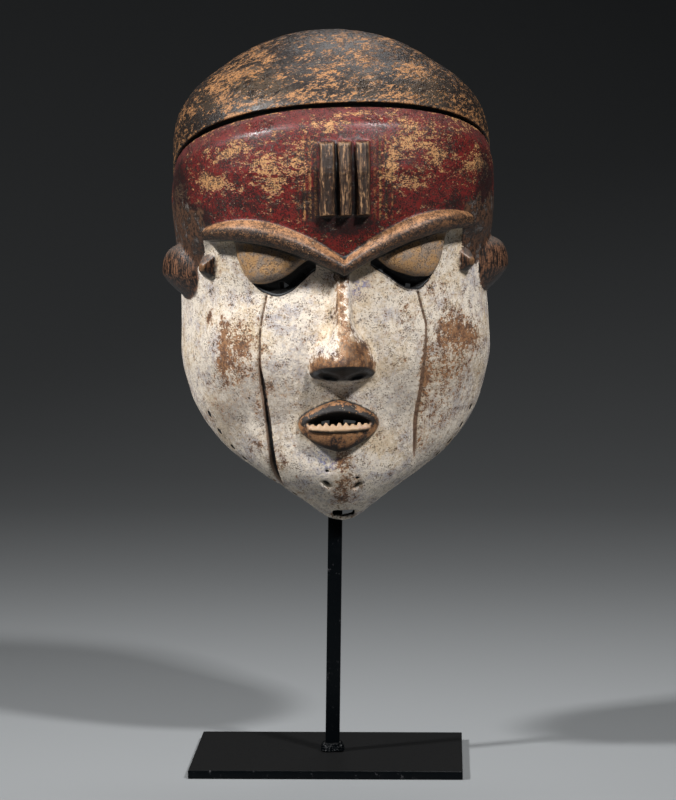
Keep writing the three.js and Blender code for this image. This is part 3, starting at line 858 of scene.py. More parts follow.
BARE_NOSE = patches_of(
    (-2.5, 130, 5.5, 18, 0.85), (-0.5, 104, 6, 12, 0.9), (-2, 89, 24, 5, 1.5),
    (8, 98, 8, 7, 1.1), (-13, 94, 5, 5, 0.9),
)
BLUE = patches_of((10, 136, 5, 3), (-10, 36, 5, 5), (5, 131, 6, 4, 0.6), (-14, 44, 5, 6, 0.5))


class Mark(StrEnum):
    """The values that the carving writes on the mask's points for its paint to read."""

    OVER_GROOVE = auto()
    BROW_SIDE = auto()
    SUNK = auto()
    LID = auto()
    EYE = auto()
    LOWER_LID = auto()
    PASSAGE = auto()
    NOSTRIL = auto()
    SCORED = auto()
    LIPS = auto()
    INNER_LIP = auto()
    TEETH = auto()
    BROW = auto()
    LINES = auto()
    UNDER = auto()
    TEMPLE = auto()
    RIM = auto()
    EAR = auto()
    NOSE = auto()
    BARS = auto()
    WEAR = auto()
    SOOT = auto()
    SATIN = auto()
    STAIN = auto()
    GRIME = auto()
    BLUE = auto()
    FINE_BEND = auto()
    BROAD_BEND = auto()


PATCHES = {
    Mark.WEAR: WORN_CAP + WORN_BAND, Mark.SOOT: SOOT, Mark.SATIN: SATIN, Mark.STAIN: STAINS,
    Mark.GRIME: GRIME, Mark.BLUE: BLUE,
}


def coordinates(mesh: Mesh) -> Points:
    """Reads a mesh's points, one row of x, y, z each."""
    flat = np.empty(len(mesh.vertices) * 3, np.float32)
    mesh.vertices.foreach_get("co", flat)
    return flat.reshape(-1, 3).astype(float)


def normals_of(mesh: Mesh) -> Points:
    """Reads the direction that a mesh faces at each of its points."""
    flat = np.empty(len(mesh.vertices) * 3, np.float32)
    mesh.vertices.foreach_get("normal", flat)
    return flat.reshape(-1, 3)


def put_coordinates(mesh: Mesh, points: Points) -> None:
    """Moves a mesh's points."""
    mesh.vertices.foreach_set("co", points.astype(np.float32).ravel())
    mesh.update()


def put_values(mesh: Mesh, name: str, values: Values) -> None:
    """Writes one value a point on a mesh, under a name."""
    layer = mesh.attributes.get(name) or mesh.attributes.new(name, "FLOAT", "POINT")
    layer.data.foreach_set("value", values.astype(np.float32))


def new_object(name: str, data: bpy.types.ID) -> Object:
    """Makes an object of a mesh, a lamp or a camera and puts it in the scene."""
    made = bpy.data.objects.new(name, data)
    bpy.context.scene.collection.objects.link(made)
    return made


class Neighbours:
    """The points of a mesh that each of its points shares an edge with."""

    def __init__(self, mesh: Mesh) -> None:
        """Reads the mesh's edges."""
        ends = np.empty(len(mesh.edges) * 2, np.int32)
        mesh.edges.foreach_get("vertices", ends)
        self.near, self.far = ends.reshape(-1, 2).T
        self.size = len(mesh.vertices)
        self.count = np.maximum(1, np.bincount(self.near, minlength=self.size)
                                + np.bincount(self.far, minlength=self.size))

    def mean(self, values: np.ndarray) -> np.ndarray:
        """Gives the mean of the neighbours' values at each point."""
        columns = values.reshape(self.size, -1).T
        sums = [np.bincount(self.near, column[self.far], self.size)
                + np.bincount(self.far, column[self.near], self.size) for column in columns]
        return (np.array(sums) / self.count).T.reshape(values.shape)


@dataclass
class Mask:
    """The mask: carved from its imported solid, marked for its paint, and put back in its place."""

    node: str = "mask"
    slot: str = "painted_wood"
    shift: float = 7.1
    chin_height: float = 138.0
    turn: float = math.radians(5.3)
    lean: float = math.radians(1.3)
    voxels: tuple[float, float] = (1.0, 0.85)
    quick_voxels: tuple[float, float] = (1.5, 1.3)
    triangles: int = 190_000
    passes: int = 4
    longest_move: float = 1.6
    evening: float = 0.35
    form: Form = Form()

    @property
    def placement(self) -> Matrix:
        """Turns the mask's own frame into the scene's."""
        place = Matrix.Translation((self.shift, 0, self.chin_height))
        turned = Matrix.Rotation(self.turn, 4, "Z") @ Matrix.Rotation(-self.lean, 4, "Y")
        return Matrix.Scale(MM, 4) @ place @ turned

    def blank(self) -> Object:
        """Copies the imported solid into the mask's own frame, with its doubled points merged."""
        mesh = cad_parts[self.node].data.copy()
        mesh.materials.clear()
        mesh.transform(self.placement.inverted())
        work = bmesh.new()
        work.from_mesh(mesh)
        bmesh.ops.remove_doubles(work, verts=work.verts, dist=1e-3)
        self.form.mouth.add_teeth(work, self.form.head)
        work.to_mesh(mesh)
        work.free()
        return new_object("mask_carved", mesh)

    @staticmethod
    def modified(piece: Object, kind: str, **settings) -> None:
        """Runs one modifier on a piece and keeps its result."""
        modifier = piece.modifiers.new("work", kind)
        for name, value in settings.items():
            setattr(modifier, name, value)
        depsgraph = bpy.context.evaluated_depsgraph_get()
        made = bpy.data.meshes.new_from_object(piece.evaluated_get(depsgraph))
        piece.modifiers.clear()
        old, piece.data = piece.data, made
        bpy.data.meshes.remove(old)

    def settle(self, mesh: Mesh) -> None:
        """Moves a mesh's points on to the form, and evens them out along it."""
        points = coordinates(mesh)
        neighbours = Neighbours(mesh)
        for i in range(self.passes):
            off, out = distance(self.form, points)
            points = points - np.clip(off, -self.longest_move, self.longest_move)[:, None] * out
            if i < self.passes - 1:
                pull = neighbours.mean(points) - points
                points += self.evening * (pull - np.sum(pull * out, axis=1)[:, None] * out)
        put_coordinates(mesh, points)

    def weather(self, mesh: Mesh) -> None:
        """Gives the wood its uneven hand-carved skin, and the hollow its scoops."""
        points = coordinates(mesh)
        noise = Noise(23)
        _, height, _ = self.form.head.foot(points)
        inside = ease(-3, -7, height)
        broad = 0.32 * (noise(points, 26) - 0.6)
        small = 0.13 * noise(points + 50, 8) + 0.07 * noise(points + 90, 2.8)
        scoops = -0.9 * abs(noise(points + 20, (11, 11, 26))) - 0.3 * abs(noise(points + 70, (5, 5, 13)))
        carved = (broad + small) * (1 - inside) + (scoops + small) * inside
        put_coordinates(mesh, points + carved[:, None] * normals_of(mesh))

    def bends(self, mesh: Mesh) -> None:
        """Writes how sharply the surface bends at each point, fine and broad: over 0 on edges."""
        points = coordinates(mesh)
        neighbours = Neighbours(mesh)
        bend = np.sum((points - neighbours.mean(points)) * normals_of(mesh), axis=1)
        for passes, mark in ((2, Mark.FINE_BEND), (14, Mark.BROAD_BEND)):
            for _ in range(passes):
                bend = 0.4 * bend + 0.6 * neighbours.mean(bend)
            put_values(mesh, mark.value, bend / max(1e-6, float(np.std(bend))))

    def temple(self, points: Points) -> Values:
        """Gives 1 on the worn wood behind the ends of the brow, with a ragged edge."""
        x, y, z = points.T
        uneven = self.form.noise(points, 5) + 0.5 * self.form.noise(points, 2.2)
        left = ease(73.5, 77, -x + 1.5 * uneven - 0.1 * np.clip(160 - z, 0, 20))
        right = ease(66.5, 69.5, x + 1.5 * uneven)
        upright = ease(141, 147, z + 2 * uneven) * ease(192, 172, z + 6 * uneven)
        return np.where(x < 0, left, right) * upright * ease(36, 16, y + 5 * uneven)

    def marks(self, mesh: Mesh) -> None:
        """Writes what the paint needs to know of each point."""
        form = self.form
        points = coordinates(mesh)
        place, height, _ = form.head.foot(points)
        x, y, z = points.T
        front = ease(15, 5, place[:, 1])
        off_nose = distance(lambda p: form.nose.body(p, form.head), points)[0]
        below = ease(150, 146, z) * (abs(x) < 26) * (y < -40)
        nose = ease(1.3, 0.4, off_nose) * below * ease(0.2, 1.5, height)
        nostril = np.where(below > 0, form.nose.nostrils(points, form.head), 9)
        on_ear = ease(1.6, 0.4, distance(form.ears.lug, points)[0]) * (height > 0.3) * (abs(x) > 60)
        knob = np.clip(form.ears.knob(place), -2, 9) * front
        mouth = form.near(points, form.teeth_box)
        gap = form.mouth.gap(points, form.head)
        sunk = form.head.fullness_at(place) - height

        def shown(value: Values, low: float = -2, high: float = 9) -> Values:
            """Limits a height over the skin to a range, and lets it fall to -3 behind the face."""
            return np.clip(value, low, high) * front - 3 * (1 - front)

        values = {
            Mark.OVER_GROOVE: np.clip(place[:, 2] - form.cap.groove(place), -60, 60),
            Mark.BROW_SIDE: np.clip(form.brow.side(place), -6, 6),
            Mark.BROW: shown(form.brow.raised(place), -3),
            Mark.SUNK: sunk,
            Mark.LID: shown(form.eyes.lid(place, form.brow)),
            Mark.EYE: shown(form.eyes.shadow(place), -3, 6),
            Mark.LOWER_LID: np.clip(z - form.eyes.both(form.eyes.sockets, x), -3, 6),
            Mark.PASSAGE: mouth * ease(0.8, 1.8, form.mouth.lips(place) + sunk) * ease(1.6, 0.9, gap),
            Mark.NOSTRIL: np.clip(nostril, -3, 6),
            Mark.SCORED: form.mark.scored_lines(place) * front,
            Mark.LIPS: shown(form.mouth.lips(place)),
            Mark.INNER_LIP: mouth * ease(6, 2, gap) * (z > form.mouth.height),
            Mark.TEETH: mouth * ease(0.5, 0.15, form.mouth.tooth_row(points, form.head)),
            Mark.LINES: form.cheeks.depth(place) * front,
            # how far each point faces down, read for painted shade under the nose, lips and ears and a
            # painted highlight on the ears' tops
            Mark.UNDER: -normals_of(mesh)[:, 2],
            Mark.TEMPLE: self.temple(points),
            Mark.RIM: ease(2.4, 1.0, form.head.rims(z) - y) * ease(10.5, 9.6, -height),
            Mark.EAR: np.maximum(on_ear, ease(0.2, 1, knob)),
            Mark.NOSE: nose * np.minimum(1.3, patched(points, BARE_NOSE)),
            Mark.BARS: shown(form.mark.raised(place, form.noise)),
        }
        for mark, patches in PATCHES.items():
            values[mark] = patched(place, patches)
        for mark, value in values.items():
            put_values(mesh, mark.value, value)

    def build(self) -> Object:
        """Carves the mask.

        Returns:
            The finished piece, in its place.
        """
        piece = self.blank()
        for voxel in self.voxels:
            self.modified(piece, "REMESH", mode="VOXEL", voxel_size=voxel)
            self.settle(piece.data)
            LOG.info("mask settled at %.2f mm: %d points", voxel, len(piece.data.vertices))
        self.weather(piece.data)
        self.bends(piece.data)
        faces = 2 * len(piece.data.polygons)
        self.modified(piece, "DECIMATE", ratio=min(1, self.triangles / faces))
        self.marks(piece.data)
        piece.data.shade_smooth()
        piece.data.transform(self.placement)
        piece.data.update()
        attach(piece, BODY)
        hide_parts(self.node)
        return piece


def linear(red: float, green: float, blue: float) -> Colour:
    """Turns a screen colour, 0 to 255 each, into the scene's linear one."""
    shares = np.array([red, green, blue]) / 255
    low = shares / 12.92
    high = ((shares + 0.055) / 1.055) ** 2.4
    return tuple(float(v) for v in np.where(shares <= 0.04045, low, high))


class Nodes:
    """A node tree that is being wired: each method adds a node and gives back its output."""

    def __init__(self, tree: bpy.types.NodeTree) -> None:
        """Takes the tree to add to."""
        self.tree = tree

    def add(self, kind: str, **settings) -> bpy.types.Node:
        """Adds a node with some of its properties set."""
        node = self.tree.nodes.new(kind)
        for name, value in settings.items():
            setattr(node, name, value)
        return node

    def feed(self, socket: Socket, value: Socket | float | tuple) -> None:
        """Links a socket to another, or sets its value."""
        if isinstance(value, Socket):
            self.tree.links.new(value, socket)
        elif socket.type == "RGBA" and len(value) == 3:
            socket.default_value = (*value, 1)
        else:
            socket.default_value = value

    def math(self, operation: str, *values: Socket | float, clamp: bool = False) -> Socket:
        """Works out one value from others."""
        node = self.add("ShaderNodeMath", operation=operation, use_clamp=clamp)
        for socket, value in zip(node.inputs, values):
            self.feed(socket, value)
        return node.outputs[0]

    def total(self, *terms: tuple[Socket, float] | float) -> Socket:
        """Adds up values, each times its own weight, and plain numbers."""
        result: Socket | float = sum(term for term in terms if not isinstance(term, tuple))
        for value, weight in (term for term in terms if isinstance(term, tuple)):
            result = self.math("MULTIPLY_ADD", value, weight, result)
        return result

    def step(self, value: Socket, low: float, high: float) -> Socket:
        """Gives a smooth step from 0 at low to 1 at high."""
        node = self.add("ShaderNodeMapRange", interpolation_type="SMOOTHSTEP")
        self.feed(node.inputs["Value"], value)
        self.feed(node.inputs["From Min"], min(low, high))
        self.feed(node.inputs["From Max"], max(low, high))
        self.feed(node.inputs["To Min"], 0.0 if low < high else 1.0)
        self.feed(node.inputs["To Max"], 1.0 if low < high else 0.0)
        return node.outputs["Result"]

    def both(self, a: Socket, b: Socket) -> Socket:
        """Multiplies two shares, which gives 1 where both are 1."""
        return self.math("MULTIPLY", a, b)

    def mix(self, share: Socket | float, a: Socket | Colour, b: Socket | Colour) -> Socket:
        """Mixes two colours."""
        node = self.add("ShaderNodeMix", data_type="RGBA")
        for socket, value in zip((node.inputs[0], node.inputs[6], node.inputs[7]), (share, a, b)):
            self.feed(socket, value)
        return node.outputs[2]

    def blend(self, share: Socket, a: Socket | float, b: Socket | float) -> Socket:
        """Mixes two values."""
        node = self.add("ShaderNodeMix", data_type="FLOAT")
        for socket, value in zip((node.inputs[0], node.inputs[2], node.inputs[3]), (share, a, b)):
            self.feed(socket, value)
        return node.outputs[0]

    def attribute(self, mark: Enum) -> Socket:
        """Reads a value that is written on the mesh."""
        return self.add("ShaderNodeAttribute", attribute_name=mark.value).outputs["Fac"]

    def place(self, stretch: tuple[float, float, float] = (1, 1, 1), turn: float = 0.0) -> Socket:
        """Gives the place on the object in millimetres, turned about Y and then stretched along its axes."""
        source = self.add("ShaderNodeTexCoord").outputs["Object"]
        if turn:
            turned = self.add("ShaderNodeMapping", vector_type="POINT")
            self.feed(turned.inputs["Vector"], source)
            self.feed(turned.inputs["Rotation"], (0, turn, 0))
            source = turned.outputs["Vector"]
        mapping = self.add("ShaderNodeMapping", vector_type="POINT")
        self.feed(mapping.inputs["Vector"], source)
        self.feed(mapping.inputs["Scale"], tuple(1 / (MM * v) for v in stretch))
        return mapping.outputs["Vector"]

    def noise(self, place: Socket, size: float, detail: float = 2, roughness: float = 0.55) -> Socket:
        """Gives cloudy noise with lumps of a size in millimetres."""
        node = self.add("ShaderNodeTexNoise")
        self.feed(node.inputs["Vector"], place)
        self.feed(node.inputs["Scale"], 1 / size)
        self.feed(node.inputs["Detail"], detail)
        self.feed(node.inputs["Roughness"], roughness)
        return node.outputs["Fac"]

    def group(self, tree: bpy.types.NodeTree, **values: Socket | float) -> dict[str, Socket]:
        """Places a node group with its own values.

        Args:
            tree: The group.
            values: What its inputs get, by name.

        Returns:
            Its outputs by name.
        """
        node = self.add("ShaderNodeGroup", node_tree=tree)
        for name, value in values.items():
            self.feed(node.inputs[name], value)
        return {socket.name: socket for socket in node.outputs}

    def bump(self, height: Socket) -> Socket:
        """Turns a height in millimetres into a normal."""
        node = self.add("ShaderNodeBump")
        self.feed(node.inputs["Strength"], 1.0)
        self.feed(node.inputs["Distance"], MM)
        self.feed(node.inputs["Height"], height)
        return node.outputs["Normal"]


def new_group(name: str, inputs: dict[str, str], outputs: dict[str, str]) -> tuple:
    """Makes an empty node group.

    Args:
        name: The group's name.
        inputs: The kind of each input by its name.
        outputs: The kind of each output by its name.

    Returns:
        The tree, its wiring helper, its inputs by name, and the node that takes its outputs.
    """
    tree = bpy.data.node_groups.new(name, "ShaderNodeTree")
    for way, sockets in (("INPUT", inputs), ("OUTPUT", outputs)):
        for socket, kind in sockets.items():
            tree.interface.new_socket(socket, in_out=way, socket_type=kind)
    nodes = Nodes(tree)
    given = nodes.add("NodeGroupInput")
    result = nodes.add("NodeGroupOutput")
    return tree, nodes, {socket.name: socket for socket in given.outputs if socket.name}, result


FLOAT = "NodeSocketFloat"
VECTOR = "NodeSocketVector"


class Effects:
    """The node groups that more than one finish uses, each built once."""

    def __init__(self) -> None:
        """Builds the groups."""
        self.flakes = self.build_flakes()
        self.specks = self.build_specks()
        self.dirt = self.build_dirt()

    @staticmethod
    def build_flakes() -> bpy.types.NodeTree:
        """Builds the ragged edge of flaked paint, from how worn each place is."""
        tree, nodes, given, result = new_group(
            "flakes",
            {"Vector": VECTOR, "Worn": FLOAT, "Coarse": FLOAT, "Fine": FLOAT, "Sharp": FLOAT},
            {"Bare": FLOAT, "Halo": FLOAT})
        broad = nodes.noise(given["Vector"], 9, 3, 0.6)
        medium = nodes.noise(given["Vector"], 2.6, 3, 0.65)
        tiny = nodes.noise(given["Vector"], 0.85, 2, 0.6)
        coarse = nodes.math("MULTIPLY", nodes.total((broad, 1.2), (medium, 0.8), -1.0), given["Coarse"])
        fine = nodes.math("MULTIPLY", nodes.total((medium, 0.9), (tiny, 1.1), -1.0), given["Fine"])
        level = nodes.math("ADD", given["Worn"], nodes.math("ADD", coarse, fine))
        over = nodes.math("MULTIPLY", nodes.math("SUBTRACT", level, 0.5), given["Sharp"])
        nodes.feed(result.inputs["Bare"], nodes.math("ADD", over, 0.5, clamp=True))
        wider = nodes.math("MULTIPLY_ADD", over, 0.35, 0.62, clamp=True)
        nodes.feed(result.inputs["Halo"], wider)
        return tree

    @staticmethod
    def build_specks() -> bpy.types.NodeTree:
        """Builds fine scattered specks."""
        tree, nodes, given, result = new_group(
            "specks", {"Vector": VECTOR, "Size": FLOAT, "Share": FLOAT}, {"Specks": FLOAT})
        scaled = nodes.add("ShaderNodeVectorMath", operation="SCALE")
        nodes.feed(scaled.inputs[0], given["Vector"])
        nodes.feed(scaled.inputs["Scale"], nodes.math("DIVIDE", 1.0, given["Size"]))
        spots = nodes.noise(scaled.outputs[0], 1, 2, 0.6)
        clumps = nodes.noise(scaled.outputs[0], 7, 2, 0.6)
        level = nodes.total((spots, 1.0), (clumps, 0.5), -0.25)
        edge = nodes.math("SUBTRACT", 0.86, nodes.math("MULTIPLY", given["Share"], 0.5))
        over = nodes.math("MULTIPLY", nodes.math("SUBTRACT", level, edge), 14.0)
        nodes.feed(result.inputs["Specks"], nodes.math("ADD", over, 0.5, clamp=True))
        return tree

    @staticmethod
    def build_dirt() -> bpy.types.NodeTree:
        """Builds the dust and grime that lies in hollows, uneven over the surface."""
        tree, nodes, given, result = new_group(
            "dirt", {"Vector": VECTOR, "Hollow": FLOAT, "Amount": FLOAT}, {"Dirt": FLOAT})
        cloud = nodes.noise(given["Vector"], 14, 4, 0.65)
        level = nodes.math("ADD", given["Hollow"], nodes.total((cloud, 1.6), -0.9))
        nodes.feed(result.inputs["Dirt"], nodes.math("MULTIPLY", level, given["Amount"], clamp=True))
        return tree


@dataclass(frozen=True)
class Coat:
    """A coat of paint over wood: its fresh and its aged colour, and the bare wood where it has gone."""

    fresh: Colour
    aged: Colour
    bare: Colour
    bare_dark: Colour
    rough: float
    bare_rough: float

    @classmethod
    def of(cls, *screen: Colour, rough: float, bare_rough: float) -> "Coat":
        """Makes a coat from its four colours on a screen, in the order above, 0 to 255 each."""
        return cls(*(linear(*colour) for colour in screen), rough, bare_rough)


@dataclass(frozen=True)
class Layer:
    """One layer of a finish: its colour, its roughness and its height in millimetres."""

    colour: Socket | Colour
    rough: Socket | float
    height: Socket | float


def new_material(name: str) -> Material:
    """Makes a material with no nodes in it."""
    material = bpy.data.materials.new(name)
    material.use_nodes = True
    material.node_tree.nodes.clear()
    return material


def put_surface(nodes: Nodes, layer: Layer, specular: float) -> None:
    """Gives a material's surface its colour, its roughness and its relief.

    Args:
        nodes: The material's nodes.
        layer: The last of its layers.
        specular: How strongly it reflects, 0.5 as a rule.
    """
    shader = nodes.add("ShaderNodeBsdfPrincipled")
    nodes.feed(shader.inputs["Base Color"], layer.colour)
    nodes.feed(shader.inputs["Roughness"], layer.rough)
    nodes.feed(shader.inputs["Normal"], nodes.bump(layer.height))
    shader.inputs["Specular IOR Level"].default_value = specular
    output = nodes.add("ShaderNodeOutputMaterial")
    nodes.feed(output.inputs["Surface"], shader.outputs["BSDF"])


class Skin:
    """The wiring of the mask's finish: its marks, its noises, and the layers laid one over another."""

    def __init__(self, tree: bpy.types.NodeTree, effects: Effects) -> None:
        """Reads the marks and makes the noises, each about 0.5 in the middle."""
        self.nodes = nodes = Nodes(tree)
        self.effects = effects
        self.read = {mark: nodes.attribute(mark) for mark in Mark}
        self.place = nodes.place()
        self.across = nodes.place((1.7, 1.7, 0.9))
        self.slant = nodes.place((2.2, 2.2, 0.9), 0.32)
        self.streaks = nodes.noise(nodes.place((9, 9, 1.6), 0.5), 1, 3, 0.6)
        self.broad = nodes.noise(self.place, 34, 4, 0.6)
        self.medium = nodes.noise(self.place, 9, 4, 0.62)
        self.fine = nodes.noise(self.place, 2.3, 3, 0.65)
        self.tiny = nodes.noise(self.place, 0.8, 2, 0.6)
        self.grain = nodes.noise(nodes.place((0.75, 0.75, 9)), 1.5, 3, 0.6)
        self.fibres = nodes.total((self.grain, 1.0), (self.fine, 0.5), -0.75)
        self.edge = nodes.math("MAXIMUM", self.read[Mark.FINE_BEND], 0.0)
        self.hollow = nodes.math("MULTIPLY", self.read[Mark.FINE_BEND], -1.0)
        self.crevice = nodes.math("MULTIPLY", self.read[Mark.BROAD_BEND], -1.0)

    def mottle(self, medium: float, fine: float, tiny: float, low: float, high: float) -> Socket:
        """Gives a step over a sum of the noises about their middles.

        Args:
            medium: The weight of the 9 mm noise.
            fine: The weight of the 2 mm noise.
            tiny: The weight of the 1 mm noise.
            low: The sum, over its middle, at which the step starts.
            high: The sum at which it ends.

        Returns:
            The step, from 0 to 1.
        """
        middle = 0.5 * (medium + fine + tiny)
        total = self.nodes.total((self.medium, medium), (self.fine, fine), (self.tiny, tiny), -middle)
        return self.nodes.step(total, low, high)

    def step(self, mark: Mark, low: float, high: float) -> Socket:
        """Gives a step over a mark."""
        return self.nodes.step(self.read[mark], low, high)

    def ragged(self, mark: Mark, low: float, high: float, amount: float) -> Socket:
        """Gives a step over a mark, with a ragged edge."""
        noises = self.nodes.total(
            (self.medium, amount), (self.fine, amount), (self.tiny, 0.6 * amount), -1.3 * amount)
        return self.nodes.step(self.nodes.math("ADD", self.read[mark], noises), low, high)

    def over(self, share: Socket, under: Layer, top: Layer) -> Layer:
        """Lays one layer over another where share is 1."""
        nodes = self.nodes
        return Layer(nodes.mix(share, under.colour, top.colour), nodes.blend(share, under.rough, top.rough),
                     nodes.blend(share, under.height, top.height))

    def tint(self, share: Socket, amount: float, colour: Socket | Colour, by: Socket | Colour) -> Socket:
        """Colours a surface by another colour, an amount of it where share is 1."""
        return self.nodes.mix(self.nodes.math("MULTIPLY", share, amount), colour, by)

    def tinted(self, colour: Socket | Colour, *tints: tuple[Socket, float, Socket | Colour]) -> Socket:
        """Colours a surface by other colours, one after another.

        Args:
            colour: The colour to start from.
            tints: Where each of the others lies, how much of it there is, and the colour itself.

        Returns:
            The last colour.
        """
        for share, amount, by in tints:
            colour = self.tint(share, amount, colour, by)
        return colour

    def worn(self, coat: Coat, colour: Socket | Colour, *relief: tuple[Socket, float]) -> Layer:
        """Gives a layer of a coat's own roughness, from its colour and the terms of its relief."""
        return Layer(colour, coat.rough, self.nodes.total(*relief))

    def soot_and_painted_shadow(self, soot: float, medium: float) -> Socket:
        """Gives where soot lies, and the painted shadow between and under the forehead's bars, from the
        weights of its mark and of the 9 mm noise.
        """
        fine = 0.8
        level = self.nodes.total(
            (self.read[Mark.SOOT], soot), (self.medium, medium), (self.fine, fine), -(medium + fine) / 2)
        return self.nodes.step(level, 0.1, 0.6)

    def sheen(self, coat: Coat, bare: Socket, satin: float) -> Socket:
        """Gives the roughness of a coat that is worn bare in places and rubbed to a satin in others."""
        painted = self.nodes.total((self.fine, 0.3), coat.rough - 0.15)
        rough = self.nodes.blend(bare, painted, coat.bare_rough)
        return self.nodes.blend(self.step(Mark.SATIN, 0.2, 0.8), rough, satin)

    def flakes(self, vector: Socket, worn: Socket, coarse: float, fine: float, sharp: float) -> dict:
        """Places the flaked edges, from how worn each place is, and gives the group's outputs by name."""
        return self.nodes.group(
            self.effects.flakes, Vector=vector, Worn=worn, Coarse=coarse, Fine=fine, Sharp=sharp)

    def specks(self, size: float, share: float) -> Socket:
        """Places scattered specks of a size in millimetres."""
        return self.nodes.group(self.effects.specks, Vector=self.place, Size=size, Share=share)["Specks"]


@dataclass(frozen=True)
class PaintedWood:
    """The mask's finish: white kaolin on the face, red on the forehead, black on the cap, bare worn edges."""

    name: str = "painted_wood"
    specular: float = 0.45
    kaolin: Colour = linear(224, 212, 196)
    cream: Colour = linear(210, 190, 162)
    lilac: Colour = linear(184, 179, 182)
    grit: Colour = linear(146, 132, 118)
    # grey of the face's grime mottle, also used for the painted shade on the lower cheeks
    grime: Colour = linear(138, 128, 118)
    halo: Colour = linear(192, 160, 122)
    stain: Colour = linear(144, 100, 64)
    rust: Colour = linear(88, 54, 36)
    speck: Colour = linear(76, 62, 50)
    blue: Colour = linear(104, 118, 176)
    red: Coat = Coat.of(
        (104, 30, 28), (58, 24, 22), (178, 130, 84), (112, 72, 44), rough=0.42, bare_rough=0.6)
    top: Colour = linear(94, 54, 52)
    black: Coat = Coat.of(
        (33, 27, 23), (68, 58, 48), (156, 110, 68), (90, 60, 38), rough=0.4, bare_rough=0.56)
    # near-black of the soot, also used for the painted shadow between and under the forehead's bars
    soot: Colour = linear(24, 18, 17)
    satin_rough: float = 0.24
    brow_wood: Coat = Coat.of(
        (104, 72, 48), (48, 34, 26), (158, 114, 78), (20, 15, 13), rough=0.5, bare_rough=0.5)
    brow_under: Colour = linear(100, 98, 92)
    lid: Coat = Coat.of(
        (166, 128, 86), (136, 120, 106), (184, 150, 114), (56, 42, 32), rough=0.48, bare_rough=0.5)
    skin: Coat = Coat.of(
        (144, 102, 66), (74, 48, 32), (182, 146, 106), (24, 18, 15), rough=0.62, bare_rough=0.6)
    # near-black painted shade under the nose and lips, in the cuts, slits and creases and in the mouth's
    # passage
    under: Colour = linear(11, 10, 10)
    under_grey: Colour = linear(74, 76, 78)
    # black painted shade inside the nostrils
    nostril: Colour = (0.0, 0.0, 0.0)
    teeth: Colour = linear(154, 126, 98)
    gums: Colour = linear(142, 106, 88)
    ear: Coat = Coat.of(
        (118, 82, 60), (120, 112, 106), (158, 118, 82), (30, 23, 20), rough=0.4, bare_rough=0.5)
    temple: Coat = Coat.of(
        (84, 58, 42), (112, 104, 100), (150, 112, 78), (30, 22, 18), rough=0.5, bare_rough=0.5)
    bar: Coat = Coat.of(
        (74, 53, 40), (42, 31, 25), (150, 116, 84), (30, 22, 19), rough=0.5, bare_rough=0.5)
    # the deepest part of the cheek lines, near-black painted shade; thin_line is their own brown
    line: Colour = linear(44, 29, 21)
    thin_line: Colour = linear(112, 84, 64)
    wood: Coat = Coat.of(
        (112, 80, 54), (56, 40, 29), (150, 114, 80), (32, 24, 20), rough=0.8, bare_rough=0.8)
    dust: Colour = linear(120, 104, 86)

    def build(self, effects: Effects) -> Material:
        """Builds the material.

        Args:
            effects: The node groups that the finishes share.

        Returns:
            The material.
        """
        material = new_material(self.name)
        skin = Skin(material.node_tree, effects)
        layer = self.covered(skin)
        layer = Layer(self.darkened(skin, layer.colour), layer.rough, layer.height)
        layer = skin.over(skin.read[Mark.TEETH], layer, self.tooth_row(skin))
        inner = skin.nodes.math("MAXIMUM", skin.step(Mark.SUNK, 7.2, 8.4), skin.read[Mark.RIM])
        put_surface(skin.nodes, skin.over(inner, layer, self.hollow_wood(skin)), self.specular)
        return material

    def covered(self, skin: Skin) -> Layer:
        """Lays the finishes of the mask's parts over that of its face."""
        nodes, read = skin.nodes, skin.read
        over_brow = nodes.total((read[Mark.BROW_SIDE], 1.0), (skin.fine, 0.5), -0.25)
        beside_brow, on_brow = skin.step(Mark.BROW, 0.4, 0.0), skin.step(Mark.BROW, -0.5, 0.3)
        on_lid = skin.ragged(Mark.LID, 0.0, 0.5, 0.4)
        covers = (
            (nodes.step(over_brow, 0.85, 1.05), self.red_band),
            (skin.step(Mark.OVER_GROOVE, -0.4, 0.4), self.cap),
            (nodes.both(skin.ragged(Mark.TEMPLE, 0.4, 0.6, 0.5), beside_brow), self.temples),
            (nodes.both(on_brow, skin.step(Mark.SUNK, 0.2, -0.8)), self.brow),
            (nodes.both(on_lid, skin.step(Mark.BROW_SIDE, -1.45, -1.7)), self.lids),
            (skin.ragged(Mark.LIPS, 0.1, 0.7, 1.2), self.lips),
            (skin.ragged(Mark.NOSE, 0.35, 0.7, 1.8), self.nose),
            (read[Mark.EAR], self.ears),
            (skin.step(Mark.BARS, 0.5, 1.5), self.bars),
        )
        layer = self.face(skin)
        for share, finish in covers:
            layer = skin.over(share, layer, finish(skin))
        return layer

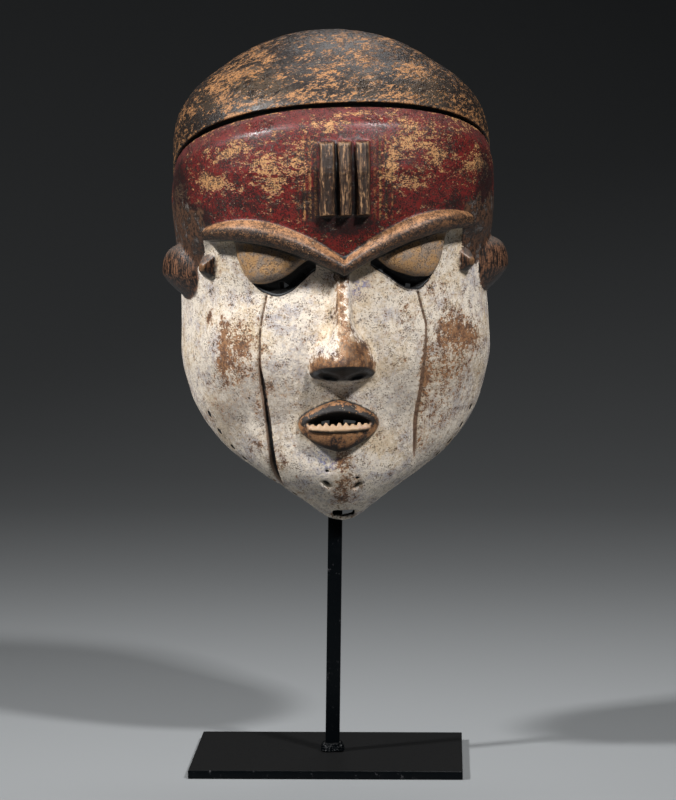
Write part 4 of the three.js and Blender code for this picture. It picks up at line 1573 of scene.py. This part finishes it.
    def darkened(self, skin: Skin, colour: Socket) -> Socket:
        """Paints shade: darkens a colour under the nose and lips, in the cuts and slits, and in what opens
        inwards.
        """
        nodes = skin.nodes
        below_nose = nodes.both(skin.step(Mark.UNDER, 0.15, 0.4), skin.step(Mark.NOSE, 0.2, 0.5))
        below_lips = nodes.both(skin.step(Mark.UNDER, 0.5, 0.85), skin.step(Mark.LIPS, 0.3, 0.8))
        rims = nodes.both(skin.step(Mark.NOSTRIL, 2.6, 1.2), skin.mottle(0.6, 0.8, 0, -0.16, 0.1))
        lash = nodes.both(skin.step(Mark.LOWER_LID, 0.7, 1.1), skin.step(Mark.LOWER_LID, 1.9, 1.4))
        off_groove = nodes.math("ABSOLUTE", skin.read[Mark.OVER_GROOVE])
        return skin.tinted(
            colour,
            # painted shade under the nose, with a grey ring round the nostrils
            (below_nose, 0.97, skin.tint(rims, 0.9, self.under, self.under_grey)),
            # painted shade under the lips
            (below_lips, 0.94, self.under),
            # painted shade, black, inside the nostrils
            (skin.step(Mark.NOSTRIL, 0.8, 0.4), 1, self.nostril),
            # painted shade in the creases
            (nodes.step(skin.hollow, 1.6, 5.0), 1, self.under),
            # painted shade in the groove under the cap
            (nodes.step(off_groove, 1.9, 1.3), 0.9, self.under),
            # the cheek lines: their own brown along the cut, and near-black painted shade where they are
            # deepest
            (skin.step(Mark.LINES, 0.3, 0.9), 0.85, self.thin_line),
            (skin.step(Mark.LINES, 1.3, 2.2), 1, self.line),
            # painted shade in the eye slits, with the grey line of the lower lid
            (skin.step(Mark.EYE, -0.2, 0.3), 1, skin.tint(lash, 0.85, self.under, self.under_grey)),
            # painted shade on the walls of cuts below the skin
            (skin.step(Mark.SUNK, 1.0, 2.6), 1, self.under),
            # painted shade in the mouth's passage
            (skin.read[Mark.PASSAGE], 1, self.under))

    def face(self, skin: Skin) -> Layer:
        """Wires the white kaolin, gritty and pitted, and its ragged brown stains."""
        nodes, read = skin.nodes, skin.read
        creamy = nodes.total((skin.broad, 1.0), (skin.fine, 0.6), (skin.crevice, 0.04), -0.8)
        # grey mottle of grime, with painted shade on the lower cheeks where the patches lie
        grime_and_cheek_shade = nodes.total((read[Mark.GRIME], 0.6), (skin.medium, 0.6), (skin.fine, 0.8), -0.7)
        worn = nodes.total((read[Mark.STAIN], 0.56), (skin.crevice, 0.03), (skin.edge, 0.06), 0.03)
        flakes = skin.flakes(skin.place, worn, 0.95, 1.25, 4.0)
        brown = nodes.mix(skin.mottle(0.5, 0.9, 0.3, -0.08, 0.1), self.stain, self.rust)
        small, large = skin.specks(0.8, 0.46), skin.specks(2.4, 0.32)
        colour = skin.tinted(
            self.kaolin,
            (skin.mottle(0.8, 0.4, 0, -0.06, 0.14), 1, self.lilac),
            (nodes.step(creamy, -0.02, 0.18), 1, self.cream),
            (skin.mottle(0.1, 0.3, 1.0, -0.02, 0.2), 0.5, self.grit),
            (nodes.step(grime_and_cheek_shade, -0.05, 0.75), 0.8, self.grime),
            (flakes["Halo"], 0.7, self.halo),
            (flakes["Bare"], 0.92, brown),
            (small, 0.7, self.speck),
            (large, 0.55, self.stain),
            (nodes.both(read[Mark.BLUE], skin.mottle(0, 1, 0, -0.06, 0.1)), 0.7, self.blue))
        height = nodes.total(
            (flakes["Bare"], -0.18), (small, -0.14), (large, -0.12), (skin.fine, 0.3), (skin.tiny, 0.26))
        return Layer(colour, nodes.blend(flakes["Bare"], 0.84, 0.6), height)

    def red_band(self, skin: Skin) -> Layer:
        """Wires the forehead's red paint, flaked off in ragged streaks."""
        nodes, read, coat = skin.nodes, skin.read, self.red
        near_groove = nodes.total((read[Mark.OVER_GROOVE], 1.0), (skin.medium, 12.0), -6.0)
        worn = nodes.total((read[Mark.WEAR], 0.52), (skin.edge, 0.08), 0.08)
        flakes = skin.flakes(skin.across, worn, 0.8, 1.35, 4.5)
        bare = nodes.mix(skin.mottle(0.3, 0.9, 0.6, 0.0, 0.2), coat.bare, coat.bare_dark)
        in_lines = nodes.mix(skin.mottle(0.2, 1, 0, -0.1, 0.1), coat.bare, self.soot)
        specks = skin.specks(0.8, 0.66)
        colour = skin.tinted(
            coat.fresh,
            (skin.mottle(0.7, 0.8, 0.5, -0.06, 0.14), 1, coat.aged),
            (nodes.step(near_groove, -17, -5), 0.6, self.top),
            (flakes["Halo"], 0.3, coat.bare_dark),
            (flakes["Bare"], 1, bare),
            # soot, and painted shadow between and under the bars
            (skin.soot_and_painted_shadow(0.8, 0.7), 0.85, self.soot),
            (nodes.math("MULTIPLY", read[Mark.SCORED], 3.0), 0.9, in_lines),
            (specks, 0.75, self.soot))
        height = nodes.total(
            (flakes["Bare"], -0.14), (specks, -0.05), (skin.fine, 0.2), (skin.tiny, 0.16), (skin.grain, 0.1))
        return Layer(colour, skin.sheen(coat, flakes["Bare"], self.satin_rough), height)

    def cap(self, skin: Skin) -> Layer:
        """Wires the cap's black paint, rubbed through to the wood all over in fine streaks."""
        nodes, read, coat = skin.nodes, skin.read, self.black
        # grey where the paint has aged, and a painted highlight in lighter grey on the satin spots
        greyed_and_highlight = nodes.total((read[Mark.SATIN], 0.7), (skin.medium, 0.5), (skin.fine, 0.5), -0.5)
        near_groove = skin.step(Mark.OVER_GROOVE, 5.0, 2.0)
        worn = nodes.total((read[Mark.WEAR], 0.4), (read[Mark.SATIN], -0.15), (skin.broad, 0.5),
                           (skin.edge, 0.06), (near_groove, 0.26), -0.03)
        flakes = skin.flakes(skin.slant, worn, 0.95, 1.9, 3.0)
        bare = nodes.mix(skin.mottle(0.4, 0.9, 0.6, -0.05, 0.2), coat.bare, coat.bare_dark)
        streaks = nodes.total((skin.streaks, 1.0), (skin.fine, 0.4), -0.7)
        specks = skin.specks(0.8, 0.6)
        colour = skin.tinted(
            coat.fresh,
            (nodes.step(greyed_and_highlight, 0.0, 0.5), 1, coat.aged),
            (flakes["Bare"], 1, bare),
            (skin.soot_and_painted_shadow(0.7, 0.6), 0.75, self.soot),
            (nodes.step(streaks, 0.03, 0.12), 0.75, self.soot),
            (specks, 0.7, self.soot))
        height = nodes.total((flakes["Bare"], -0.1), (specks, -0.06), (skin.fine, 0.24), (skin.tiny, 0.18))
        return Layer(colour, skin.sheen(coat, flakes["Bare"], self.satin_rough), height)

    def brow(self, skin: Skin) -> Layer:
        """Wires the brow's worn wood: light along its top edge, partly bare wood and partly a painted
        highlight, dark on its front, grey beneath.
        """
        nodes, coat, side = skin.nodes, self.brow_wood, skin.read[Mark.BROW_SIDE]
        up = nodes.total((side, 1.0), (skin.medium, 1.1), -0.55)
        colour = skin.tinted(
            coat.fresh,
            (skin.mottle(0.6, 0.8, 0.4, -0.14, 0.06), 1, coat.aged),
            (skin.mottle(0.9, 0.7, 0.5, -0.1, 0.08), 1, coat.bare_dark),
            (skin.mottle(0.5, 0.2, 0.9, 0.02, 0.2), 0.6, coat.bare),
            # lighter along the top edge: bare wood, and a painted highlight where the brow faces up
            (nodes.step(up, 0.5, 0.8), 1,
             nodes.mix(skin.mottle(0.5, 0.9, 0.5, -0.08, 0.12), coat.bare, coat.fresh)),
            (skin.specks(0.9, 0.6), 0.7, coat.bare_dark),
            (nodes.step(side, -0.92, -1.08), 1,
             nodes.mix(skin.mottle(0.3, 0.9, 0.3, -0.02, 0.16), self.brow_under, coat.bare_dark)))
        return skin.worn(coat, colour, (skin.fine, 0.24), (skin.tiny, 0.14))

    def bare_skin(self, skin: Skin) -> Layer:
        """Wires worn wood that hands have darkened, light on its edges, with painted shade in its creases."""
        nodes, coat = skin.nodes, self.skin
        colour = skin.tinted(
            coat.fresh,
            (skin.mottle(0.8, 0.6, 0.2, -0.1, 0.14), 1, coat.aged),
            (skin.mottle(0.3, 0.8, 0.7, 0.04, 0.22), 1, coat.bare_dark),
            (skin.mottle(-0.5, 0.3, 0.9, 0.04, 0.24), 0.5, coat.bare),
            (nodes.step(skin.edge, 0.8, 3.0), 0.4, coat.bare),
            # painted shade in the creases
            (nodes.step(skin.hollow, 0.6, 2.6), 1, coat.bare_dark))
        return skin.worn(coat, colour, (skin.fine, 0.24), (skin.tiny, 0.22))

    def nose(self, skin: Skin) -> Layer:
        """Wires the nose's bare wood, with kaolin left in its grain and a dark gritty lower edge, partly
        painted shade where the tip rounds under.
        """
        nodes, worn = skin.nodes, self.bare_skin(skin)
        # dark speckles, thickest along the lower edge of the tip, partly painted shade
        gritty = nodes.total((skin.read[Mark.NOSE], 1.0), (skin.fine, 1.6), (skin.tiny, 1.0), -1.3)
        colour = skin.tinted(
            worn.colour,
            (skin.mottle(-0.7, 0.5, 0.7, 0.02, 0.2), 0.6, self.cream),
            (nodes.step(gritty, 1.0, 1.4), 0.8, self.skin.aged))
        return Layer(colour, worn.rough, worn.height)

    def lids(self, skin: Skin) -> Layer:
        """Wires the upper lids, golden brown and grey with fine dark specks."""
        nodes, coat = skin.nodes, self.lid
        colour = skin.tinted(
            coat.fresh,
            (skin.mottle(0.9, 0.5, 0.2, -0.1, 0.12), 1, coat.aged),
            (skin.mottle(0.1, 0.5, 1.0, 0.0, 0.3), 0.6, coat.bare_dark),
            (skin.mottle(-0.3, 0.2, -1.0, 0.02, 0.26), 0.5, coat.bare),
            (skin.specks(0.8, 0.5), 0.6, coat.bare_dark),
            # painted shade in the creases round the lids
            (nodes.step(skin.hollow, 0.8, 2.6), 1, coat.bare_dark))
        return skin.worn(coat, colour, (skin.fine, 0.24), (skin.tiny, 0.2))

    def lips(self, skin: Skin) -> Layer:
        """Wires the lips, tan on top and blotched with black."""
        nodes, worn = skin.nodes, self.bare_skin(skin)
        noises = (skin.medium, 1.2), (skin.fine, 1.2), (skin.tiny, 0.6)
        dark = nodes.total((skin.read[Mark.INNER_LIP], 0.4), *noises, -1.5)
        colour = nodes.mix(nodes.step(dark, 0.12, 0.26), worn.colour, self.skin.bare_dark)
        return Layer(colour, worn.rough, worn.height)

    def tooth_row(self, skin: Skin) -> Layer:
        """Wires the teeth, cream with reddish stains."""
        colour = skin.nodes.mix(skin.mottle(0.6, 0.8, 0.2, 0.0, 0.2), self.teeth, self.gums)
        return Layer(colour, 0.5, skin.nodes.total((skin.tiny, 0.1)))

    def ears(self, skin: Skin) -> Layer:
        """Wires the ears, reddish wood with black grain, with a painted grey highlight and satin above and
        painted black shade beneath.
        """
        nodes, coat = skin.nodes, self.ear
        colour = skin.tinted(
            coat.bare_dark,
            (nodes.step(skin.fibres, -0.05, 0.1), 1, coat.fresh),
            (skin.mottle(0.4, 0.8, 0.8, -0.02, 0.16), 0.7, coat.bare_dark),
            # painted highlight: grey where the ear faces up
            (skin.step(Mark.UNDER, -0.2, -0.7), 0.4, coat.aged),
            (nodes.step(skin.edge, 1.2, 3.5), 0.6, coat.bare),
            # painted shade: black where the ear faces down
            (skin.step(Mark.UNDER, 0.1, 0.8), 0.9, coat.bare_dark))
        return skin.worn(coat, colour, (skin.grain, 0.2), (skin.fine, 0.16))

    def temples(self, skin: Skin) -> Layer:
        """Wires the worn wood behind the ends of the brow, dark with a grey bloom."""
        nodes, coat = skin.nodes, self.temple
        colour = skin.tinted(
            coat.fresh,
            (skin.mottle(0.6, 0.8, 0.4, -0.08, 0.08), 1, coat.bare_dark),
            (skin.mottle(1.0, 0.3, 0.3, 0.06, 0.2), 1, coat.aged),
            (nodes.step(skin.edge, 0.8, 3.0), 0.7, coat.bare))
        return skin.worn(coat, colour, (skin.fine, 0.24), (skin.tiny, 0.14))

    def bars(self, skin: Skin) -> Layer:
        """Wires the forehead's bars, dark wood with light upright streaks."""
        nodes, coat = skin.nodes, self.bar
        colour = skin.tinted(
            coat.aged,
            (nodes.step(skin.fibres, -0.04, 0.08), 1, coat.fresh),
            (nodes.step(skin.fibres, 0.07, 0.16), 1, coat.bare),
            (nodes.step(skin.edge, 1.2, 3.2), 0.5, coat.bare))
        return skin.worn(coat, colour, (skin.grain, 0.3), (skin.tiny, 0.14))

    def hollow_wood(self, skin: Skin) -> Layer:
        """Wires the unpainted wood of the hollow and the rim, with its grime and dust."""
        nodes, coat = skin.nodes, self.wood
        streaks = nodes.total((skin.grain, 0.7), (skin.broad, 0.5), -0.6)
        hollow = nodes.math("MULTIPLY", skin.hollow, 0.2)
        dirt = nodes.group(skin.effects.dirt, Vector=skin.place, Hollow=hollow, Amount=0.8)
        colour = skin.tinted(
            coat.aged,
            (nodes.step(streaks, -0.15, 0.2), 1, coat.fresh),
            (dirt["Dirt"], 1, self.dust),
            (nodes.step(skin.edge, 1.0, 3.0), 0.6, coat.bare))
        return skin.worn(coat, colour, (skin.grain, 0.4), (skin.fine, 0.15))


class StandMark(Enum):
    """The value that the stand's pieces carry for their paint to read."""

    EDGE = "edge"


@dataclass(frozen=True)
class BlackSteel:
    """The stand's finish: satin black paint on steel, scuffed along its edges."""

    name: str = "black_steel"
    paint: Colour = linear(4, 6, 8)
    scuff: Colour = linear(62, 62, 64)
    dust: Colour = linear(44, 43, 42)
    rough: float = 0.3
    specular: float = 0.08

    def build(self, effects: Effects) -> Material:
        """Builds the material, and gives it back."""
        material = new_material(self.name)
        nodes = Nodes(material.node_tree)
        place = nodes.place()
        fine = nodes.noise(place, 1.6, 3, 0.6)
        orange_peel = nodes.noise(place, 0.9, 1, 0.5)
        edge = nodes.attribute(StandMark.EDGE)
        worn = nodes.total((edge, 0.34), -0.02)
        flakes = nodes.group(effects.flakes, Vector=place, Worn=worn, Coarse=0.35, Fine=0.35, Sharp=9.0)
        specks = nodes.group(effects.specks, Vector=place, Size=0.8, Share=0.12)
        dirt = nodes.group(effects.dirt, Vector=place, Hollow=0.0, Amount=0.12)
        colour = nodes.mix(flakes["Bare"], self.paint, self.scuff)
        colour = nodes.mix(dirt["Dirt"], colour, self.dust)
        colour = nodes.mix(nodes.math("MULTIPLY", specks["Specks"], 0.5), colour, self.dust)
        upright = nodes.add("ShaderNodeSeparateXYZ")
        nodes.feed(upright.inputs[0], nodes.add("ShaderNodeNewGeometry").outputs["Normal"])
        settled = nodes.both(nodes.step(upright.outputs["Z"], 0.6, 0.95), nodes.total((fine, 0.5), 0.1))
        colour = nodes.mix(settled, colour, self.dust)
        rough = nodes.total((fine, 0.16), (flakes["Bare"], 0.1), self.rough - 0.08)
        height = nodes.total((orange_peel, 0.05), (fine, 0.03), (flakes["Bare"], -0.04))
        put_surface(nodes, Layer(colour, rough, height), self.specular)
        return material


def rounded_box(size: Vector, middle: Vector, rounding: float) -> BMesh:
    """Makes a box of a size with rounded edges, round a point."""
    work = bmesh.new()
    bmesh.ops.create_cube(work, size=1)
    bmesh.ops.scale(work, vec=size, verts=work.verts)
    bmesh.ops.translate(work, vec=middle, verts=work.verts)
    sharp = [edge for edge in work.edges if edge.calc_face_angle(0) > math.radians(30)]
    bmesh.ops.bevel(work, geom=sharp, offset=rounding, affect="EDGES", segments=3, profile=0.5, material=-1)
    return work


@dataclass
class Stand:
    """The stand: a square steel plate and a square bar that is welded upright on it."""

    slot: str = "black_steel"
    plate_node: str = "stand_base"
    bar_node: str = "stand_post"
    plate_round: float = 0.45 * MM
    bar_round: float = 0.5 * MM
    bar_side: float = 8 * MM
    lean: float = math.radians(0.7)
    bead_tall: float = 5.2 * MM
    bead_reach: float = 2.6 * MM
    noise: Noise = Noise(5)

    def finish_piece(self, work: BMesh, node: str, name: str) -> Object:
        """Turns a finished mesh into the piece that stands for a node."""
        mesh = bpy.data.meshes.new(name)
        bmesh.ops.recalc_face_normals(work, faces=work.faces)
        work.to_mesh(mesh)
        work.free()
        piece = new_object(name, mesh)
        mesh.shade_smooth()
        self.mark_edges(mesh)
        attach(piece, BODY)
        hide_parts(node)
        return piece

    @staticmethod
    def mark_edges(mesh: Mesh) -> None:
        """Writes 1 on the points of a mesh's rounded edges, and 0 on its flats."""
        spread = np.zeros(len(mesh.vertices))
        for polygon in mesh.polygons:
            normal = np.array(polygon.normal)
            tilted = np.max(abs(normal)) < 0.985
            if tilted:
                spread[list(polygon.vertices)] = 1
        put_values(mesh, StandMark.EDGE.value, spread)

    def plate(self) -> Object:
        """Builds the plate, with rounded edges and a finer mesh near them."""
        low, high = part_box(self.plate_node)
        work = rounded_box(high - low, (low + high) / 2, self.plate_round)
        flats = [face for face in work.faces if face.calc_area() > 1e-3]
        for width in (1.2 * MM, 3 * MM):
            bmesh.ops.inset_region(work, faces=flats, thickness=width, use_even_offset=True)
        return self.finish_piece(work, self.plate_node, "stand_base_plate")

    def bar(self) -> Object:
        """Builds the bar, leaning as the real one does, with the lumpy bead of weld round its foot."""
        low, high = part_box(self.bar_node)
        top_shift = math.tan(self.lean) * (high.z - low.z)
        foot_x = high.x - top_shift - self.bar_side / 2
        size = Vector((self.bar_side, self.bar_side, high.z - low.z))
        work = rounded_box(size, Vector((foot_x, 0, low.z + size.z / 2)), self.bar_round)
        for vert in work.verts:
            vert.co.x += math.tan(self.lean) * (vert.co.z - low.z)
        self.bead(work, Vector((foot_x, 0, low.z)))
        return self.finish_piece(work, self.bar_node, "stand_post_bar")

    def bead(self, work: BMesh, foot: Vector) -> None:
        """Adds the weld: a ring of overlapping drops that slopes from the bar to the plate."""
        made = bmesh.ops.create_icosphere(work, subdivisions=5, radius=1)["verts"]
        directions = np.array([vert.co for vert in made])
        turn = np.arctan2(directions[:, 1], directions[:, 0])
        up = (directions[:, 2] + 1) / 2
        drops = 0.10 * abs(np.sin(4.5 * turn + 0.6)) + 0.06 * np.sin(3 * turn + 1)
        rough = 0.05 * self.noise(directions * 10, 3.1) + 0.03 * self.noise(directions * 10, 1.3)
        across = np.maximum(abs(np.cos(turn)), abs(np.sin(turn)))
        corner = np.hypot(np.cos(turn), np.sin(turn)) / np.maximum(across, 0.8)
        slope = np.sqrt(np.maximum(0, 1 - up**2.2))
        radius = (self.bar_side / 2 + self.bead_reach * slope) * corner * (0.9 + drops + rough)
        flat = np.hypot(directions[:, 0], directions[:, 1])
        radius = np.where(flat < 0.35, radius * flat / 0.35, radius)
        rise = self.bead_tall * up * (1 + 0.12 * np.sin(2 * turn + 2) + rough)
        for vert, angle, reach, z in zip(made, turn, radius, rise):
            vert.co = foot + Vector((reach * math.cos(angle), reach * math.sin(angle), float(z)))

    def build(self, finish: Material) -> list[Object]:
        """Builds the stand's two pieces in their finish."""
        pieces = [self.plate(), self.bar()]
        for piece in pieces:
            piece.data.materials.append(finish)
        return pieces


def parts_of(made: list, kind: type) -> list:
    """Picks the parts of one kind, such as edges, out of what a mesh operator made."""
    return [part for part in made if isinstance(part, kind)]


def direction(around: float, up: float) -> Vector:
    """Gives the direction that lies around from the front, to the viewer's right, and up, in radians."""
    return Vector((math.sin(around) * math.cos(up), -math.cos(around) * math.cos(up), math.sin(up)))


def aimed(name: str, data: bpy.types.ID, middle: Vector, away: Vector) -> Object:
    """Puts a lamp or a camera away from a point, looking at it."""
    made = new_object(name, data)
    made.location = middle + away
    made.rotation_euler = (-away).to_track_quat("-Z", "Y").to_euler()
    return made


@dataclass
class Studio:
    """The plain pale floor with its sweep, the soft lights and the camera at the photograph's view."""

    lens: float = 193.5
    sensor: float = 36
    reach: float = 2.4459
    azimuth: float = math.radians(1.459)
    elevation: float = math.radians(3.758)
    target: tuple[float, float, float] = (0.00516, 0, 0.20583)
    mask_middle: float = 0.28
    floor_tone: Colour = (0.238, 0.247, 0.253)
    half_floor: float = 3.0
    front_floor: float = 0.3
    sweep_start: float = 1.6
    sweep_radius: float = 4.0
    wall_tall: float = 3.0
    spread: float = math.radians(75)

    def floor(self) -> None:
        """Builds the floor, which sweeps up behind into a plain wall."""
        work = bmesh.new()
        ends = [work.verts.new((x, -self.front_floor, 0)) for x in (-self.half_floor, self.half_floor)]
        edge = work.edges.new(ends)
        out = bmesh.ops.extrude_edge_only(work, edges=[edge])["geom"]
        verts = parts_of(out, bmesh.types.BMVert)
        bmesh.ops.translate(work, verts=verts, vec=(0, self.front_floor + self.sweep_start, 0))
        far_edge = [edge for edge in parts_of(out, bmesh.types.BMEdge) if set(edge.verts) == set(verts)]
        centre = (0, self.sweep_start, self.sweep_radius)
        spun = bmesh.ops.spin(
            work, geom=verts + far_edge, cent=centre, axis=(1, 0, 0), dvec=(0, 0, 0), angle=math.radians(90),
            steps=24, use_merge=False, use_duplicate=False)
        last_edge = parts_of(spun["geom_last"], bmesh.types.BMEdge)
        wall = bmesh.ops.extrude_edge_only(work, edges=last_edge)["geom"]
        bmesh.ops.translate(work, verts=parts_of(wall, bmesh.types.BMVert), vec=(0, 0, self.wall_tall))
        mesh = bpy.data.meshes.new("floor")
        work.to_mesh(mesh)
        work.free()
        mesh.shade_smooth()
        floor = new_object("floor", mesh)
        material = bpy.data.materials.new("plain_floor")
        material.use_nodes = True
        shader = material.node_tree.nodes["Principled BSDF"]
        shader.inputs["Base Color"].default_value = (*self.floor_tone, 1)
        shader.inputs["Roughness"].default_value = 0.85
        shader.inputs["Specular IOR Level"].default_value = 0.2
        floor.data.materials.append(material)

    def light(self, name: str, around: float, up: float, away: float, width: float, watts: float) -> None:
        """Hangs a square soft box that looks at the mask.

        Args:
            name: The lamp's name.
            around: Where it hangs round the mask, in degrees from the front to the viewer's right.
            up: How high, in degrees over the mask's middle.
            away: How far from the mask's middle, in metres.
            width: The box's side, in metres.
            watts: Its power.
        """
        middle = Vector((self.target[0], self.target[1], self.mask_middle))
        lamp = bpy.data.lights.new(name, "AREA")
        lamp.shape = "SQUARE"
        lamp.size = width
        lamp.energy = watts
        lamp.spread = self.spread
        aimed(name, lamp, middle, away * direction(math.radians(around), math.radians(up)))

    def camera(self) -> None:
        """Stands the camera where the photograph was taken from."""
        lens = bpy.data.cameras.new("camera")
        lens.lens = self.lens
        lens.sensor_width = self.sensor
        away = self.reach * direction(self.azimuth, self.elevation)
        bpy.context.scene.camera = aimed("camera", lens, Vector(self.target), away)

    def build(self) -> None:
        """Builds the floor, the lights and the camera."""
        self.floor()
        self.light("left_box", -56, 37, 2.0, 0.2, 9.0)
        self.light("right_box", 30, 38, 2.2, 0.22, 9.2)
        self.light("back_box", 175, 55, 1.5, 0.5, 0.8)
        world = bpy.data.worlds.new("studio")
        world.use_nodes = True
        sky = world.node_tree.nodes["Background"]
        sky.inputs["Color"].default_value = (0.9, 0.95, 1, 1)
        sky.inputs["Strength"].default_value = 0.02
        bpy.context.scene.world = world
        bpy.context.scene.view_settings.view_transform = "Standard"
        self.camera()


def main() -> None:
    """Builds the studio, the stand and the mask, in that order."""
    logging.basicConfig(level=logging.INFO, format="%(name)s: %(message)s")
    effects = Effects()
    Studio().build()
    LOG.info("studio built")
    for piece in Stand().build(BlackSteel().build(effects)):
        LOG.info("%s: %d faces", piece.name, len(piece.data.polygons))
    mask = Mask().build()
    mask.data.materials.append(PaintedWood().build(effects))
    LOG.info("%s: %d faces", mask.name, len(mask.data.polygons))


if __name__ == "__main__":
    main()
